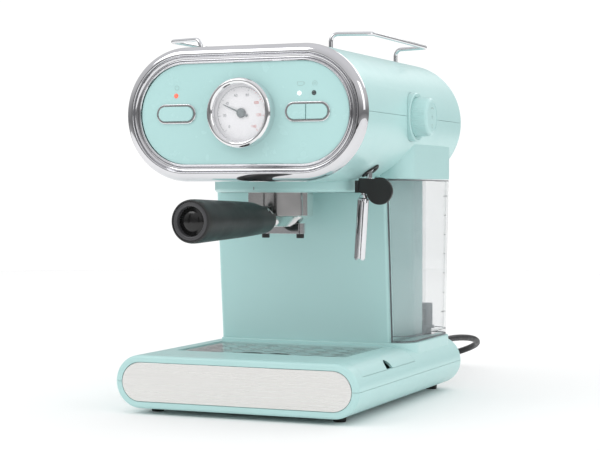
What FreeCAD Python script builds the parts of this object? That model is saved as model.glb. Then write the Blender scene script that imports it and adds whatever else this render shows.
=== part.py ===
import FreeCAD, Part
import math
import os

# Home espresso machine with pump, steam wand and rear water tank. Millimetres.
# +X is right, +Y is back, +Z is up; the front faces -Y.
# Origin: on the standing surface, under the centre of the base.

# ---- driving dimensions -------------------------------------------------
base_width = 245.0
base_depth = 308.0
base_height = 50.0
foot_height = 5.5
wall = 2.5
thin_wall = 1.8
sheet = 1.2

head_width = 243.0
head_height = 125.4
head_centre_z = 281.0
head_front_y = -126.0

column_width = 183.8
column_back_y = 113.5
column_front_foot_y = 15.0
column_front_top_y = -0.2
column_top_z = 222.0

tank_width_foot = 225.4
tank_width_top = 231.2
tank_back_y = 145.9
tank_bottom_z = 59.3
tank_top_z = 220.5
tank_wall = 2.0
tank_front_radius = 20.0
tank_back_radius = 20.0
column_edge_radius = 3.5

group_y = -45.8
bowl_radius = 31.8
bowl_bottom_z = 184.7
bowl_rim_z = 218.0
handle_turn = 3.0
handle_stand = 1.2
handle_length = 144.6
handle_neck_z = 183.0
handle_end_z = 182.5
cap_radius = 17.2
cap_length = 11.0
lever_setback = 17.0
lever_lift = 8.0
lever_pin_radius = 1.8
lever_floor_lift = 4.6
lever_width = 10.6
spout_offset = 18.7
spout_shift = 2.6
spout_half_width = 5.2
spout_bottom_z = 167.9
spout_height = 10.2
spout_tip_z = 163.7
spout_bore = 2.6
tongue_bottom_z = 207.8
tongue_top_z = 222.0
tongue_half_width = 86.2
tongue_cover = 2.7
tongue_radius = 82.3

bezel_band = 16.4
panel_height = 94.0
panel_face_y = -132.9
panel_centre_z = 281.0
gauge_radius = 32.4
gauge_stand = 12.3

button_stroke = 2.0
power_button_x = -68.35
power_button_width = 41.0
twin_button_x = 64.75
twin_button_width = 44.5
button_height = 18.6
button_z = 281.3
twin_split_x = 63.6
surround_rim = 2.2
needle_angle = 156.0
needle_length = 20.0
plate_width = 230.8
plate_height = 36.5
shelf_x = 60.0
shelf_front_y = -70.0
shelf_back_y = 120.0

tray_front_y = -136.0
tray_back_y = 10.0
tray_split_z = 42.6
basin_half_width = 88.0
basin_front_y = -98.0
basin_back_y = 7.0
basin_floor_z = 22.0
grille_drop = 2.4
grille_thickness = 1.2
tray_notch_radius = 8.0

wand_from_side = 29.5
wand_pivot_z = 231.3
wand_pipe_radius = 2.8
sleeve_radius = 5.6
sleeve_top_z = 206.0
sleeve_length = 62.5
ball_radius = 4.5
trunnion_radius = 1.5
thumb_disc_z = 209.2
thumb_disc_radius = 13.0
thumb_disc_thickness = 3.5

knob_y = 2.8
knob_radius = 19.0
knob_stand = 0.3
knob_depth = 17.4
collar_rim = 4.5

rail_wire = 4.0
rail_leg_x = 67.6
rail_out_x = 104.9
rail_front_leg_y = -83.4
rail_back_leg_y = 97.9
rail_front_out_y = -72.6
rail_back_out_y = 86.2
rail_z = 355.7
rail_bend = 7.0

foot_radius = 6.5
foot_x = 92.9
foot_front_y = -124.9
foot_back_y = 140.7

cord_diameter = 7.0
cord_coil_radius = 40.0
cord_coil_turns = 2
lead_x = 86.0
lead_z = 45.0
lead_seat = 6.0
relief_length = 28.0

pump_y = 66.0
pump_z = 120.0

# ---- clearances ---------------------------------------------------------
gap = 0.3
loose_gap = 0.8
running = 0.05

# ---- derived places -----------------------------------------------------
base_radius = base_height / 2
base_centre_z = foot_height + base_radius
deck_z = foot_height + base_height
base_front_y = -base_depth / 2
base_back_y = base_depth / 2
head_radius = head_height / 2
panel_width = head_width - 2 * bezel_band
collar_radius = knob_radius + collar_rim
knob_back_x = head_width / 2 + knob_stand
knob_front_x = knob_back_x + knob_depth
valve_port_x = knob_back_x - 41.8
wand_x = head_width / 2 - wand_from_side
sleeve_foot_x = wand_x - 10.0
sleeve_head_x = wand_x - 5.9
thumb_disc_x = wand_x + 11.2
head_straight = head_width / 2 - head_radius
head_back_y = base_back_y + 2.0
tank_front_foot_y = column_front_foot_y
tank_front_top_y = column_front_foot_y + (tank_top_z - tank_bottom_z) * (
    (column_front_top_y - column_front_foot_y) / (column_top_z - deck_z))
floor_rim = 3.2
tank_floor = 3.0
bowl_wall = 3.0
collar_bore = bowl_radius + 3.7
lug_reach = bowl_radius + 3.2
group_radius = bowl_radius + 5.1
tongue_front_y = group_y - group_radius - tongue_cover
handle_neck = bowl_radius + handle_stand
handle_reach = handle_neck + handle_length
lever_pin_at = handle_neck + lever_setback
pad_z = tank_bottom_z - gap
outlet_x = 90.6
outlet_y = 129.5
valve_base_z = tank_bottom_z + floor_rim + tank_floor
valve_drop = 8.3
skirt_bottom_z = tank_top_z + loose_gap
seam = gap / 2
dial_y = panel_face_y - 3.0
dial_radius = gauge_radius - 5.3
flange_z0 = tongue_bottom_z + 3.0
flange_z1 = flange_z0 + 3.0
group_block_z = bowl_rim_z + 8.0
group_top_z = group_block_z + 12.0
wand_elbow_z = 221.0

V = FreeCAD.Vector
X_AXIS, Y_AXIS, Z_AXIS = V(1, 0, 0), V(0, 1, 0), V(0, 0, 1)


# ---- shape helpers ------------------------------------------------------
def box(x0, x1, y0, y1, z0, z1):
    return Part.makeBox(x1 - x0, y1 - y0, z1 - z0, V(x0, y0, z0))


def rod(radius, start, end):
    along = V(*end) - V(*start)
    return Part.makeCylinder(radius, along.Length, V(*start), along)


def cone(radius0, radius1, start, end):
    along = V(*end) - V(*start)
    return Part.makeCone(radius0, radius1, along.Length, V(*start), along)


def fuse(first, *others):
    return first.fuse(list(others)).removeSplitter() if others else first


def stadium_wire(width, height, centre, y):
    """Outline of two half circles joined by straight runs, in an XZ plane."""
    cx, cz = centre
    r = height / 2
    s = width / 2 - r
    tl, tr = V(cx - s, y, cz + r), V(cx + s, y, cz + r)
    bl, br = V(cx - s, y, cz - r), V(cx + s, y, cz - r)
    right = Part.Arc(tr, V(cx + s + r, y, cz), br).toShape()
    left = Part.Arc(bl, V(cx - s - r, y, cz), tl).toShape()
    top = Part.LineSegment(tl, tr).toShape()
    bottom = Part.LineSegment(br, bl).toShape()
    return Part.Wire([top, right, bottom, left])


def stadium(width, height, centre, y0, y1):
    face = Part.Face(stadium_wire(width, height, centre, y0))
    return face.extrude(V(0, y1 - y0, 0))


def plan_wire(x0, x1, y0, y1, front_r, back_r, z, left_front_r=None):
    """Rounded rectangle in an XY plane; its left front corner can have its own radius."""
    left_r = front_r if left_front_r is None else left_front_r

    def arc(cx, cy, r, mid_angle):
        a = [math.radians(mid_angle + k) for k in (-45, 0, 45)]
        return Part.Arc(*[V(cx + r * math.cos(t), cy + r * math.sin(t), z) for t in a]).toShape()
    edges = [
        Part.LineSegment(V(x0 + left_r, y0, z), V(x1 - front_r, y0, z)).toShape(),
        arc(x1 - front_r, y0 + front_r, front_r, -45),
        Part.LineSegment(V(x1, y0 + front_r, z), V(x1, y1 - back_r, z)).toShape(),
        arc(x1 - back_r, y1 - back_r, back_r, 45),
        Part.LineSegment(V(x1 - back_r, y1, z), V(x0 + back_r, y1, z)).toShape(),
        arc(x0 + back_r, y1 - back_r, back_r, 135),
        Part.LineSegment(V(x0, y1 - back_r, z), V(x0, y0 + left_r, z)).toShape(),
        arc(x0 + left_r, y0 + left_r, left_r, 225),
    ]
    return Part.Wire(edges)


def plan_block(x0, x1, y0, y1, front_r, back_r, z0, z1, left_front_r=None):
    outline = plan_wire(x0, x1, y0, y1, front_r, back_r, z0, left_front_r)
    return Part.Face(outline).extrude(V(0, 0, z1 - z0))


def lathe(points, centre, axis):
    """Solid of revolution; points are (radius, distance along the axis)."""
    side = Z_AXIS if abs(axis.z) < 0.5 else X_AXIS
    ring = [centre + side * r + axis * h for r, h in points]
    face = Part.Face(Part.makePolygon(ring + ring[:1]))
    return face.revolve(centre, axis, 360)


def stadium_sweep(profile, straight, centre_z):
    """Closed ring whose section, as (radius, y) points, follows a stadium."""
    def section(x):
        ring = [V(x, y, centre_z + r) for r, y in profile]
        return Part.Face(Part.makePolygon(ring + ring[:1]))
    top = section(-straight).extrude(V(2 * straight, 0, 0))
    right = section(straight).revolve(V(straight, 0, centre_z), Y_AXIS, 180)
    bottom = top.copy()
    bottom.rotate(V(0, 0, centre_z), Y_AXIS, 180)
    left = section(-straight).revolve(V(-straight, 0, centre_z), Y_AXIS, -180)
    return fuse(top, right, bottom, left)


def edges_at(shape, test):
    return [e for e in shape.Edges if test(e.BoundBox)]


def round_edges(shape, radius, test):
    return shape.makeFillet(radius, edges_at(shape, test))


def in_plane_y(y):
    return lambda b: abs(b.YMin - y) < 0.01 and abs(b.YMax - y) < 0.01


def in_plane_z(z):
    return lambda b: abs(b.ZMin - z) < 0.01 and abs(b.ZMax - z) < 0.01


def bent_path(points, radii=None):
    """Straight runs joined by tangent arcs; returns the wire and the radii."""
    pts = [V(*p) for p in points]
    edges, used = [], []
    start = pts[0]
    for i in range(1, len(pts) - 1):
        back, ahead = pts[i - 1] - pts[i], pts[i + 1] - pts[i]
        turn = math.pi - back.getAngle(ahead)
        reach = 0.45 * min(back.Length, ahead.Length)
        radius = reach / math.tan(turn / 2)
        if radii:
            radius = radii
            reach = radius * math.tan(turn / 2)
        used.append(round(radius, 1))
        u = back.multiply(1 / back.Length)
        w = ahead.multiply(1 / ahead.Length)
        a, b = pts[i] + u * reach, pts[i] + w * reach
        inward = (u + w).normalize()
        mid = pts[i] + inward * (radius / math.cos(turn / 2) - radius)
        edges.append(Part.LineSegment(start, a).toShape())
        edges.append(Part.Arc(a, mid, b).toShape())
        start = b
    edges.append(Part.LineSegment(start, pts[-1]).toShape())
    return Part.Wire(edges), used


def pipe(points, radius, bend=None):
    path, used = bent_path(points, bend)
    along = V(*points[1]) - V(*points[0])
    ring = Part.Wire(Part.makeCircle(radius, V(*points[0]), along))
    return path.makePipeShell([ring], True, False), used


def hose(points, radius, bore, bend):
    outer, _ = pipe(points, radius, bend)
    inner, _ = pipe(points, bore, bend)
    return outer.cut(inner)


# ---- base ---------------------------------------------------------------
def base_block(inset):
    return stadium(base_width - 2 * inset, base_height - 2 * inset, (0, base_centre_z),
                   base_front_y + inset, base_back_y - inset)


def base_outside():
    body = round_edges(base_block(0), 3.0, in_plane_y(base_front_y))
    return round_edges(body, 4.5, in_plane_y(base_back_y))


def plate_recess():
    return stadium(plate_width + 2 * gap + 0.4, plate_height + 2 * gap + 0.4,
                   (0, base_centre_z), base_front_y - 1, base_front_y + sheet + gap)


def front_wall_backing():
    """Thickening behind the plate recess, so the front wall stays closed."""
    return stadium(base_width - 2 * wall, base_height - 2 * wall, (0, base_centre_z),
                   base_front_y + wall, base_front_y + wall + 1.5)


def base_half(z0, z1):
    shell = base_outside().cut(base_block(wall))
    shell = fuse(shell, front_wall_backing()).cut(plate_recess())
    return shell.common(box(-200, 200, -200, 200, z0, z1))


def foot_places():
    return [(sx * foot_x, y) for sx in (-1, 1) for y in (foot_front_y, foot_back_y)]


def base_pan():
    pan = base_half(0, base_centre_z - gap / 2)
    for x, y in foot_places():
        pan = pan.cut(rod(2.5, (x, y, 0), (x, y, foot_height + wall + 1)))
    return pan


def rubber_feet():
    feet = []
    for x, y in foot_places():
        pad = cone(foot_radius - 0.7, foot_radius, (x, y, 0), (x, y, foot_height - 0.02))
        stem = rod(2.5 - running, (x, y, foot_height - 1), (x, y, foot_height + wall))
        head = cone(4.0, 2.4, (x, y, foot_height + wall + 0.05), (x, y, foot_height + wall + 2.5))
        neck = rod(2.4, (x, y, foot_height + wall - 0.5), (x, y, foot_height + wall + 1))
        feet.append(fuse(pad, stem, neck, head))
    return Part.makeCompound(feet)


def plinth_block(inset, z0, z1):
    """Step that carries the column and, behind and to the right of it, the tank."""
    left = -column_width / 2 - 0.5 + inset
    right = tank_width_foot / 2 + 2.6 - inset
    return plan_block(left, right, column_front_foot_y - 3 + inset, tank_back_y + 2.2 - inset,
                      tank_front_radius + 2 - inset, tank_back_radius + 2 - inset, z0, z1,
                      column_edge_radius + 0.5 - inset)


def outlet_slot(spread, z0, z1):
    """Slot, open at the back, that the tank's outlet slides through."""
    r = 7.5 + spread
    slot = box(outlet_x - r, outlet_x + r, outlet_y, base_back_y + 5, z0, z1)
    return fuse(slot, rod(r, (outlet_x, outlet_y, z0), (outlet_x, outlet_y, z1)))


def base_top_cover():
    cover = base_half(base_centre_z + gap / 2, 200)
    pad = plinth_block(0, base_centre_z + 10, tank_bottom_z - gap)
    pad = round_edges(pad, 1.2, in_plane_z(tank_bottom_z - gap))
    inner = base_block(wall)
    cover = fuse(cover, pad).cut(inner)
    cover = cover.cut(box(-200, 200, tray_front_y, tray_back_y, tray_split_z, 100))
    for y in (tray_front_y - wall, tray_back_y):
        rib = box(-200, 200, y + 0.01, y + wall - 0.01, base_centre_z + gap / 2, 100)
        cover = fuse(cover, rib.common(base_block(wall - 0.5)))
    cable_way = box(-86, -56, 45, 95, base_centre_z, 100)
    cover = cover.cut(cable_way).cut(outlet_slot(0, tank_bottom_z - 3.4, 100))
    dock_hole = rod(9.3, (outlet_x, outlet_y, 40), (outlet_x, outlet_y, 60))
    lead_hole = rod(lead_seat, (lead_x, base_back_y - 10, lead_z), (lead_x, base_back_y + 5, lead_z))
    return cover.cut(dock_hole).cut(lead_hole)


def front_plate():
    plate = stadium(plate_width, plate_height, (0, base_centre_z),
                    base_front_y - 0.2, base_front_y + sheet)
    return round_edges(plate, 0.5, in_plane_y(base_front_y - 0.2))


def drip_tray():
    shell = base_outside().cut(base_block(wall))
    rim = shell.common(box(-200, 200, tray_front_y + gap, tray_back_y - gap, tray_split_z + gap, 200))
    t = thin_wall
    basin = plan_block(-basin_half_width - t, basin_half_width + t, basin_front_y - t, basin_back_y + t,
                       6, 6, basin_floor_z - t, deck_z - 0.5)
    basin = round_edges(basin, 4.0, in_plane_z(basin_floor_z - t))
    hollow = plan_block(-basin_half_width, basin_half_width, basin_front_y, basin_back_y,
                        4, 4, basin_floor_z, deck_z + 1)
    ledge = plan_block(-basin_half_width - 0.01, basin_half_width + 0.01, basin_front_y - 0.01,
                       basin_back_y + 0.01, 4, 4, deck_z - grille_drop - 3.0, deck_z - grille_drop)
    ledge = ledge.cut(box(-basin_half_width + 3, basin_half_width - 3, basin_front_y + 3,
                          basin_back_y - 3, deck_z - 10, deck_z))
    tray = fuse(rim, basin).cut(hollow)
    tray = fuse(tray, ledge)
    for side in (-1, 1):
        mid_y = (tray_front_y + tray_back_y) / 2
        notch = rod(tray_notch_radius, (side * 105, mid_y, tray_split_z), (side * 130, mid_y, tray_split_z))
        tray = tray.cut(notch)
    return tray


def drip_grille():
    z0, z1 = deck_z - grille_drop + 0.02, deck_z - grille_drop + grille_thickness
    g = 0.5
    plate = plan_block(-basin_half_width + g, basin_half_width - g, basin_front_y + g, basin_back_y - g,
                       3.6, 3.6, z0, z1)
    slots = []
    columns, rows, pitch_x, pitch_y = 7, 9, 23.4, 9.6
    for i in range(columns):
        for j in range(rows):
            x = (i - (columns - 1) / 2) * pitch_x + (3.0 if j % 2 else -3.0)
            y = (basin_front_y + basin_back_y) / 2 + (j - (rows - 1) / 2) * pitch_y
            if j == 1 and abs(i - 3) <= 1:
                continue
            slots.append(plan_block(x - 6.5, x + 6.5, y - 1.6, y + 1.6, 1.59, 1.59, z0 - 1, z1 + 1))
    for x in (-14.0, 14.0):
        y = basin_front_y + 18.0
        lens = rod(17.0, (x, y + 12, z0 - 1), (x, y + 12, z1 + 1))
        lens = lens.common(rod(17.0, (x, y - 12, z0 - 1), (x, y - 12, z1 + 1)))
        slots.append(lens)
    return plate.cut(slots)


# ---- column -------------------------------------------------------------
def column_block(inset, z0=None, z1=None):
    """Prism whose front face leans forwards as it rises."""
    z0 = deck_z if z0 is None else z0
    z1 = column_top_z if z1 is None else z1
    slope = (column_front_top_y - column_front_foot_y) / (column_top_z - deck_z)

    def front(z):
        return column_front_foot_y + slope * (z - deck_z) + inset
    x = column_width / 2 - inset
    pts = [V(-x, front(z0), z0), V(-x, front(z1), z1),
           V(-x, column_back_y - inset, z1), V(-x, column_back_y - inset, z0)]
    face = Part.Face(Part.makePolygon(pts + pts[:1]))
    return face.extrude(V(2 * x, 0, 0))


def column_foot_z():
    return pad_z + 0.05


def column_front():
    z0, z1 = column_foot_z(), column_top_z
    outer = column_block(0, z0, z1)
    x = column_width / 2
    outer = round_edges(outer, column_edge_radius,
                        lambda b: b.ZLength > 100 and b.YMin < 40 and abs(b.XMin) > x - 1)
    inner = column_block(wall, z0 - 5, z1 + 5)
    shell = outer.cut(inner)
    shell = shell.cut(box(-x + 6, x - 6, column_back_y - wall - 1, 200, 0, 400))
    tongue_room = tongue_block(-gap, tongue_bottom_z - gap, 300)
    return shell.cut(tongue_room).cut(skirt_block(-gap, tank_top_z, 300))


def column_back():
    x = column_width / 2 - 6 - gap
    panel = box(-x, x, column_back_y - wall, column_back_y, column_foot_z(), column_top_z)
    ribs = [box(rx - 1, rx + 1, column_back_y - 10, column_back_y - wall + 0.01,
                column_foot_z() + 8, column_top_z - 12) for rx in (-55.0, 0.0, 55.0)]
    return fuse(panel, *ribs).cut(skirt_block(-gap, tank_top_z, 300))


# ---- water tank ---------------------------------------------------------
def tank_block(inset, z0, z1):
    def wire(z):
        t = (z - tank_bottom_z) / (tank_top_z - tank_bottom_z)
        right = (tank_width_foot + t * (tank_width_top - tank_width_foot)) / 2 - inset
        front = tank_front_foot_y + t * (tank_front_top_y - tank_front_foot_y) + inset
        return plan_wire(-column_width / 2 + inset, right, front, tank_back_y - inset,
                         tank_front_radius - inset, tank_back_radius - inset, z)
    return Part.makeLoft([wire(z0), wire(z1)], True, True)


def column_room(spread, z0, z1):
    x = column_width / 2 + loose_gap + spread
    return box(-x, x, -100, column_back_y + loose_gap + spread, z0, z1)


def water_tank():
    outer = tank_block(0, tank_bottom_z, tank_top_z).cut(column_room(0, 0, 400))
    floor_z = tank_bottom_z + floor_rim
    inside = tank_block(tank_wall, floor_z + tank_floor, tank_top_z).cut(column_room(tank_wall, 0, 400))
    under = tank_block(tank_wall, tank_bottom_z, floor_z).cut(column_room(tank_wall, 0, 400))
    under = under.cut(rod(10, (outlet_x, outlet_y, 0), (outlet_x, outlet_y, 90)))
    tank = outer.cut(inside).cut(under)
    return tank.cut(rod(6.0, (outlet_x, outlet_y, 0), (outlet_x, outlet_y, 80)))


def tank_valve_body():
    z = valve_base_z
    below = z - valve_drop
    points = [(3.0, below), (5.9, below), (5.9, z + 0.05), (8.6, z + 0.05), (8.6, z + 3.0), (7.0, z + 3.0),
              (7.0, z + 26.0), (1.6, z + 26.0), (1.6, z + 24.0), (5.2, z + 24.0), (5.2, z + 1.5),
              (3.0, z + 1.5)]
    body = lathe(points, V(outlet_x, outlet_y, 0), Z_AXIS)
    ports = [box(outlet_x - 10, outlet_x + 10, outlet_y - 1.5, outlet_y + 1.5, z + 8, z + 20),
             box(outlet_x - 1.5, outlet_x + 1.5, outlet_y - 10, outlet_y + 10, z + 8, z + 20)]
    return body.cut(ports)


def tank_valve_poppet():
    z = valve_base_z + 1.5
    points = [(0, z + 0.1), (4.6, z + 0.1), (4.6, z + 2.1), (1.4, z + 2.1), (1.4, z + 12.0), (0, z + 12.0)]
    return lathe(points, V(outlet_x, outlet_y, 0), Z_AXIS)


def coil_spring(mean_radius, wire_radius, start, length, turns, axis):
    helix = Part.makeHelix(length / turns, length, mean_radius)
    ring = Part.Wire(Part.makeCircle(wire_radius, V(mean_radius, 0, 0), V(0, 1, 0)))
    spring = Part.Wire(helix).makePipeShell([ring], True, True)
    spring.Placement = FreeCAD.Placement(start, FreeCAD.Rotation(Z_AXIS, axis))
    return spring


def tank_valve_spring():
    z = valve_base_z + 1.5 + 2.1
    return coil_spring(3.0, 0.35, V(outlet_x, outlet_y, z + 0.55), 19.0, 6, Z_AXIS)


def tank_dock():
    """Socket under the deck that the tank's outlet sits over, with a hose nozzle."""
    top = valve_base_z - valve_drop - gap
    points = [(2.0, top - 22), (3.5, top - 22), (3.5, top - 6), (9.2, top - 6), (9.2, top - 1.0),
              (8.0, top - 1.0), (8.0, top - 3.0), (2.0, top - 3.0)]
    return lathe(points, V(outlet_x, outlet_y, 0), Z_AXIS)


def dock_seal():
    top = valve_base_z - valve_drop - gap
    points = [(3.0, top - 2.95), (7.9, top - 2.95), (7.9, top - 1.0), (5.5, top), (3.0, top)]
    return lathe(points, V(outlet_x, outlet_y, 0), Z_AXIS)


# ---- head ---------------------------------------------------------------
def head_block(inset, y0, y1):
    return stadium(head_width - 2 * inset, head_height - 2 * inset, (0, head_centre_z), y0, y1)


def tongue_block(inset, z0, z1):
    """D-shaped block under the front of the head, round the brew group."""
    half, r = tongue_half_width - inset, tongue_radius - inset
    cy = tongue_front_y + tongue_radius
    drop = math.sqrt(max(r * r - half * half, 0.0)) if half < r else 0.0
    back = column_front_top_y + 4.2 - inset
    disc = rod(r, (0, cy, z0), (0, cy, z1))
    strip = box(-half, half, cy - drop, back, z0, z1)
    return fuse(disc.common(box(-half, half, -200, cy + 1, z0, z1)), strip)


def skirt_block(inset, z0, z1):
    """Underside of the head, to the outline of the column and tank together."""
    left = -column_width / 2 - 0.4 + inset
    right = tank_width_top / 2 + 0.4 - inset
    return plan_block(left, right, tank_front_top_y - 0.4 + inset, tank_back_y + 0.4 - inset,
                      tank_front_radius - inset, tank_back_radius - inset, z0, z1,
                      column_edge_radius - inset)


def head_solid(inset):
    body = head_block(inset, head_front_y + 0.01, head_back_y - inset)
    if inset == 0:
        body = round_edges(body, 4.0, in_plane_y(head_back_y))
    return body


def collar_hole():
    return rod(collar_radius + gap, (knob_back_x - 22, knob_y, head_centre_z),
               (knob_back_x + 18, knob_y, head_centre_z))


def tank_way(z1):
    """Room for the tank's top, open to the back so that the tank draws out."""
    left = -column_width / 2 - 0.4 - loose_gap
    right = tank_width_top / 2 + 0.4 + loose_gap
    return fuse(skirt_block(-loose_gap, 0, z1), box(left, right, 100, 200, 0, z1))


def head_lower_shell():
    lower = box(-200, 200, -300, 300, 0, head_centre_z - seam)
    outer = head_solid(0).common(lower)
    tongue = tongue_block(0, tongue_bottom_z, head_centre_z - 40)
    tongue = tongue.cut(box(-200, 200, -300, 300, 0, tongue_bottom_z - 1))
    tongue = round_edges(tongue, 3.5, in_plane_z(tongue_bottom_z))
    skirt = skirt_block(0, skirt_bottom_z, head_centre_z - 20)
    outer = fuse(outer.cut(tank_way(skirt_bottom_z)), tongue.common(lower), skirt)
    inner = head_block(wall, -300, head_back_y - wall).common(lower)
    inner = inner.cut(tank_way(skirt_bottom_z + wall))
    tongue_in = tongue_block(wall, tongue_bottom_z + wall, head_centre_z)
    skirt_in = skirt_block(wall, skirt_bottom_z + wall, head_centre_z)
    shell = outer.cut(fuse(inner, tongue_in.common(lower), skirt_in.common(lower)))
    group_hole = rod(lug_reach + 1.0, (0, group_y, 0), (0, group_y, tongue_bottom_z + wall + 1))
    hose_way = box(-60, 84, 30, 90, 0, head_centre_z - 30)
    wand_hole = rod(7.0, (wand_x, group_y, 200), (wand_x, group_y, 260))
    shell = shell.cut(group_hole).cut(hose_way).cut(wand_hole)
    return shell.cut(collar_hole())


def head_upper_shell():
    upper = box(-200, 200, -300, 300, head_centre_z + seam, 500)
    shell = head_solid(0).cut(head_block(wall, -300, head_back_y - wall)).common(upper)
    top = head_centre_z + head_radius
    recess = plan_block(-shelf_x - gap, shelf_x + gap, shelf_front_y - gap, shelf_back_y + gap,
                        12, 12, top - sheet, top + 5)
    shell = shell.cut(recess)
    for side in (-1, 1):
        for y in (rail_front_leg_y, rail_back_leg_y):
            shell = shell.cut(rod(rail_wire / 2 + running, (side * rail_leg_x, y, 300),
                                  (side * rail_leg_x, y, 360)))
    return shell.cut(collar_hole())


def cup_plate():
    top = head_centre_z + head_radius
    plate = plan_block(-shelf_x, shelf_x, shelf_front_y, shelf_back_y, 11.7, 11.7, top - sheet, top)
    ribs = []
    for k in range(-4, 5):
        x = k * 12.0
        ribs.append(plan_block(x - 2, x + 2, shelf_front_y + 15, shelf_back_y - 15, 1.9, 1.9,
                               top - 0.2, top + 0.8))
    return fuse(plate, *ribs)


def cup_rail(side):
    top = head_centre_z + math.sqrt(head_radius ** 2 - (rail_leg_x - head_straight) ** 2)
    foot = top - 9.0
    points = [(side * rail_leg_x, rail_front_leg_y, foot),
              (side * rail_leg_x, rail_front_leg_y, rail_z),
              (side * rail_out_x, rail_front_out_y, rail_z),
              (side * rail_out_x, rail_back_out_y, rail_z),
              (side * rail_leg_x, rail_back_leg_y, rail_z),
              (side * rail_leg_x, rail_back_leg_y, foot)]
    solid, _ = pipe(points, rail_wire / 2, rail_bend)
    return solid


# ---- front of the head --------------------------------------------------
def bezel_ring():
    outer, inner = head_radius + 0.3, panel_height / 2 + 0.1
    f = panel_face_y
    profile = [(outer - 0.8, head_front_y - 0.1), (outer, head_front_y - 1.2), (outer, f + 4.2),
               (outer - 1.2, f + 1.6), (outer - 3.6, f - 1.4), (outer - 6.6, f - 3.0), (outer - 8.2, f - 3.2),
               (outer - 8.8, f - 2.6), (outer - 9.2, f - 1.2), (outer - 10.6, f + 0.3),
               (outer - 12.4, f + 0.6),
               (outer - 14.0, f - 0.2), (outer - 14.6, f - 1.6), (outer - 15.4, f - 2.2),
               (inner, f - 1.6), (inner, f + 3.2), (inner + 6, f + 3.4), (inner + 6, head_front_y - 0.1)]
    return stadium_sweep(profile, head_straight, head_centre_z)


def front_button_places():
    return {"power": (power_button_x, power_button_width), "twin": (twin_button_x, twin_button_width)}


def control_panel():
    f = panel_face_y
    plate = stadium(panel_width - 0.4, panel_height - 0.4, (0, panel_centre_z), f, f + 3.0)
    holes = [rod(gauge_radius - 3.0, (0, f - 5, panel_centre_z), (0, f + 10, panel_centre_z))]
    for x, width in front_button_places().values():
        holes.append(stadium(width - 2.4, button_height - 2.4, (x, button_z), f - 5, f + 10))
    for x, z in light_places():
        holes.append(rod(2.3, (x, f - 5, z), (x, f + 10, z)))
    return plate.cut(holes)


def light_places():
    return [(-68.9, 298.4), (56.4, 298.2), (70.9, 298.2)]


def indicator_lights():
    f = panel_face_y
    lamps = []
    for x, z in light_places():
        body = rod(2.2, (x, f - 0.6, z), (x, f + 5.0, z))
        lamps.append(round_edges(body, 0.5, in_plane_y(f - 0.6)))
    return Part.makeCompound(lamps)


def button_surround(x, width):
    f = panel_face_y
    outer = stadium(width, button_height, (x, button_z), f - 1.6, f - 0.02)
    outer = round_edges(outer, 0.8, in_plane_y(f - 1.6))
    spigot = stadium(width - 2.5, button_height - 2.5, (x, button_z), f - 0.5, f + 5.0)
    bore = stadium(width - 2 * surround_rim, button_height - 2 * surround_rim, (x, button_z), f - 5, f + 10)
    return fuse(outer, spigot).cut(bore)


def button_cap(x0, x1, round_left, round_right):
    """Key that fills its surround; straight ends meet the neighbouring key."""
    f = panel_face_y
    height = button_height - 2 * surround_rim - 2 * gap
    cx = (x0 + x1) / 2
    body = stadium(x1 - x0 + (0 if round_left else height) + (0 if round_right else height), height,
                   (cx + (0 if round_right else height / 2) - (0 if round_left else height / 2), button_z),
                   f - 2.6, f + 4.0)
    body = body.common(box(x0, x1, f - 5, f + 10, 0, 500))
    body = round_edges(body, 0.7, in_plane_y(f - 2.6))
    stem = rod(2.5, (cx, f + 3.5, button_z), (cx, f + 8.0, button_z))
    return fuse(body, stem)


def power_button():
    half = power_button_width / 2 - surround_rim - gap
    return button_cap(power_button_x - half, power_button_x + half, True, True)


def brew_button():
    half = twin_button_width / 2 - surround_rim - gap
    return button_cap(twin_button_x - half, twin_split_x - 0.3, True, False)


def steam_button():
    half = twin_button_width / 2 - surround_rim - gap
    return button_cap(twin_split_x + 0.3, twin_button_x + half, False, True)


def control_board():
    """Circuit board with one push switch behind each key."""
    f = panel_face_y
    board_y = f + 16.0
    left = box(-92, -44, board_y, board_y + 1.6, 262, 306)
    right = box(40, 90, board_y, board_y + 1.6, 262, 306)
    bridge = box(-92, 90, board_y, board_y + 1.6, 240, 262.01)
    keys = [power_button_x,
            ((twin_button_x - twin_button_width / 2 + 2.5) + twin_split_x - 0.3) / 2,
            (twin_split_x + 0.3 + twin_button_x + twin_button_width / 2 - 2.5) / 2]
    parts = [left, right]
    for x in keys:
        parts.append(box(x - 3, x + 3, f + 8.0 + button_stroke + 0.6, board_y + 0.1,
                         button_z - 3, button_z + 3))
    return fuse(bridge, *parts)


def gauge_ring():
    f, c = panel_face_y, V(0, 0, panel_centre_z)
    front = f - gauge_stand
    r = gauge_radius
    points = [(r, f - 0.05), (r, front + 3.0), (r - 0.9, front + 1.0), (r - 2.4, front), (r - 3.6, front),
              (r - 5.0, front + 0.9), (r - 6.4, front + 3.0), (r - 6.4, front + 4.2), (r - 5.2, front + 4.2),
              (r - 5.2, f + 1.5), (r - 3.2, f + 1.5), (r - 3.2, f - 0.05)]
    return lathe(points, c, Y_AXIS)


def gauge_dial():
    c = V(0, 0, panel_centre_z)
    points = [(1.05, dial_y), (dial_radius, dial_y), (dial_radius, dial_y + 1.5), (1.05, dial_y + 1.5)]
    return lathe(points, c, Y_AXIS)


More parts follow.
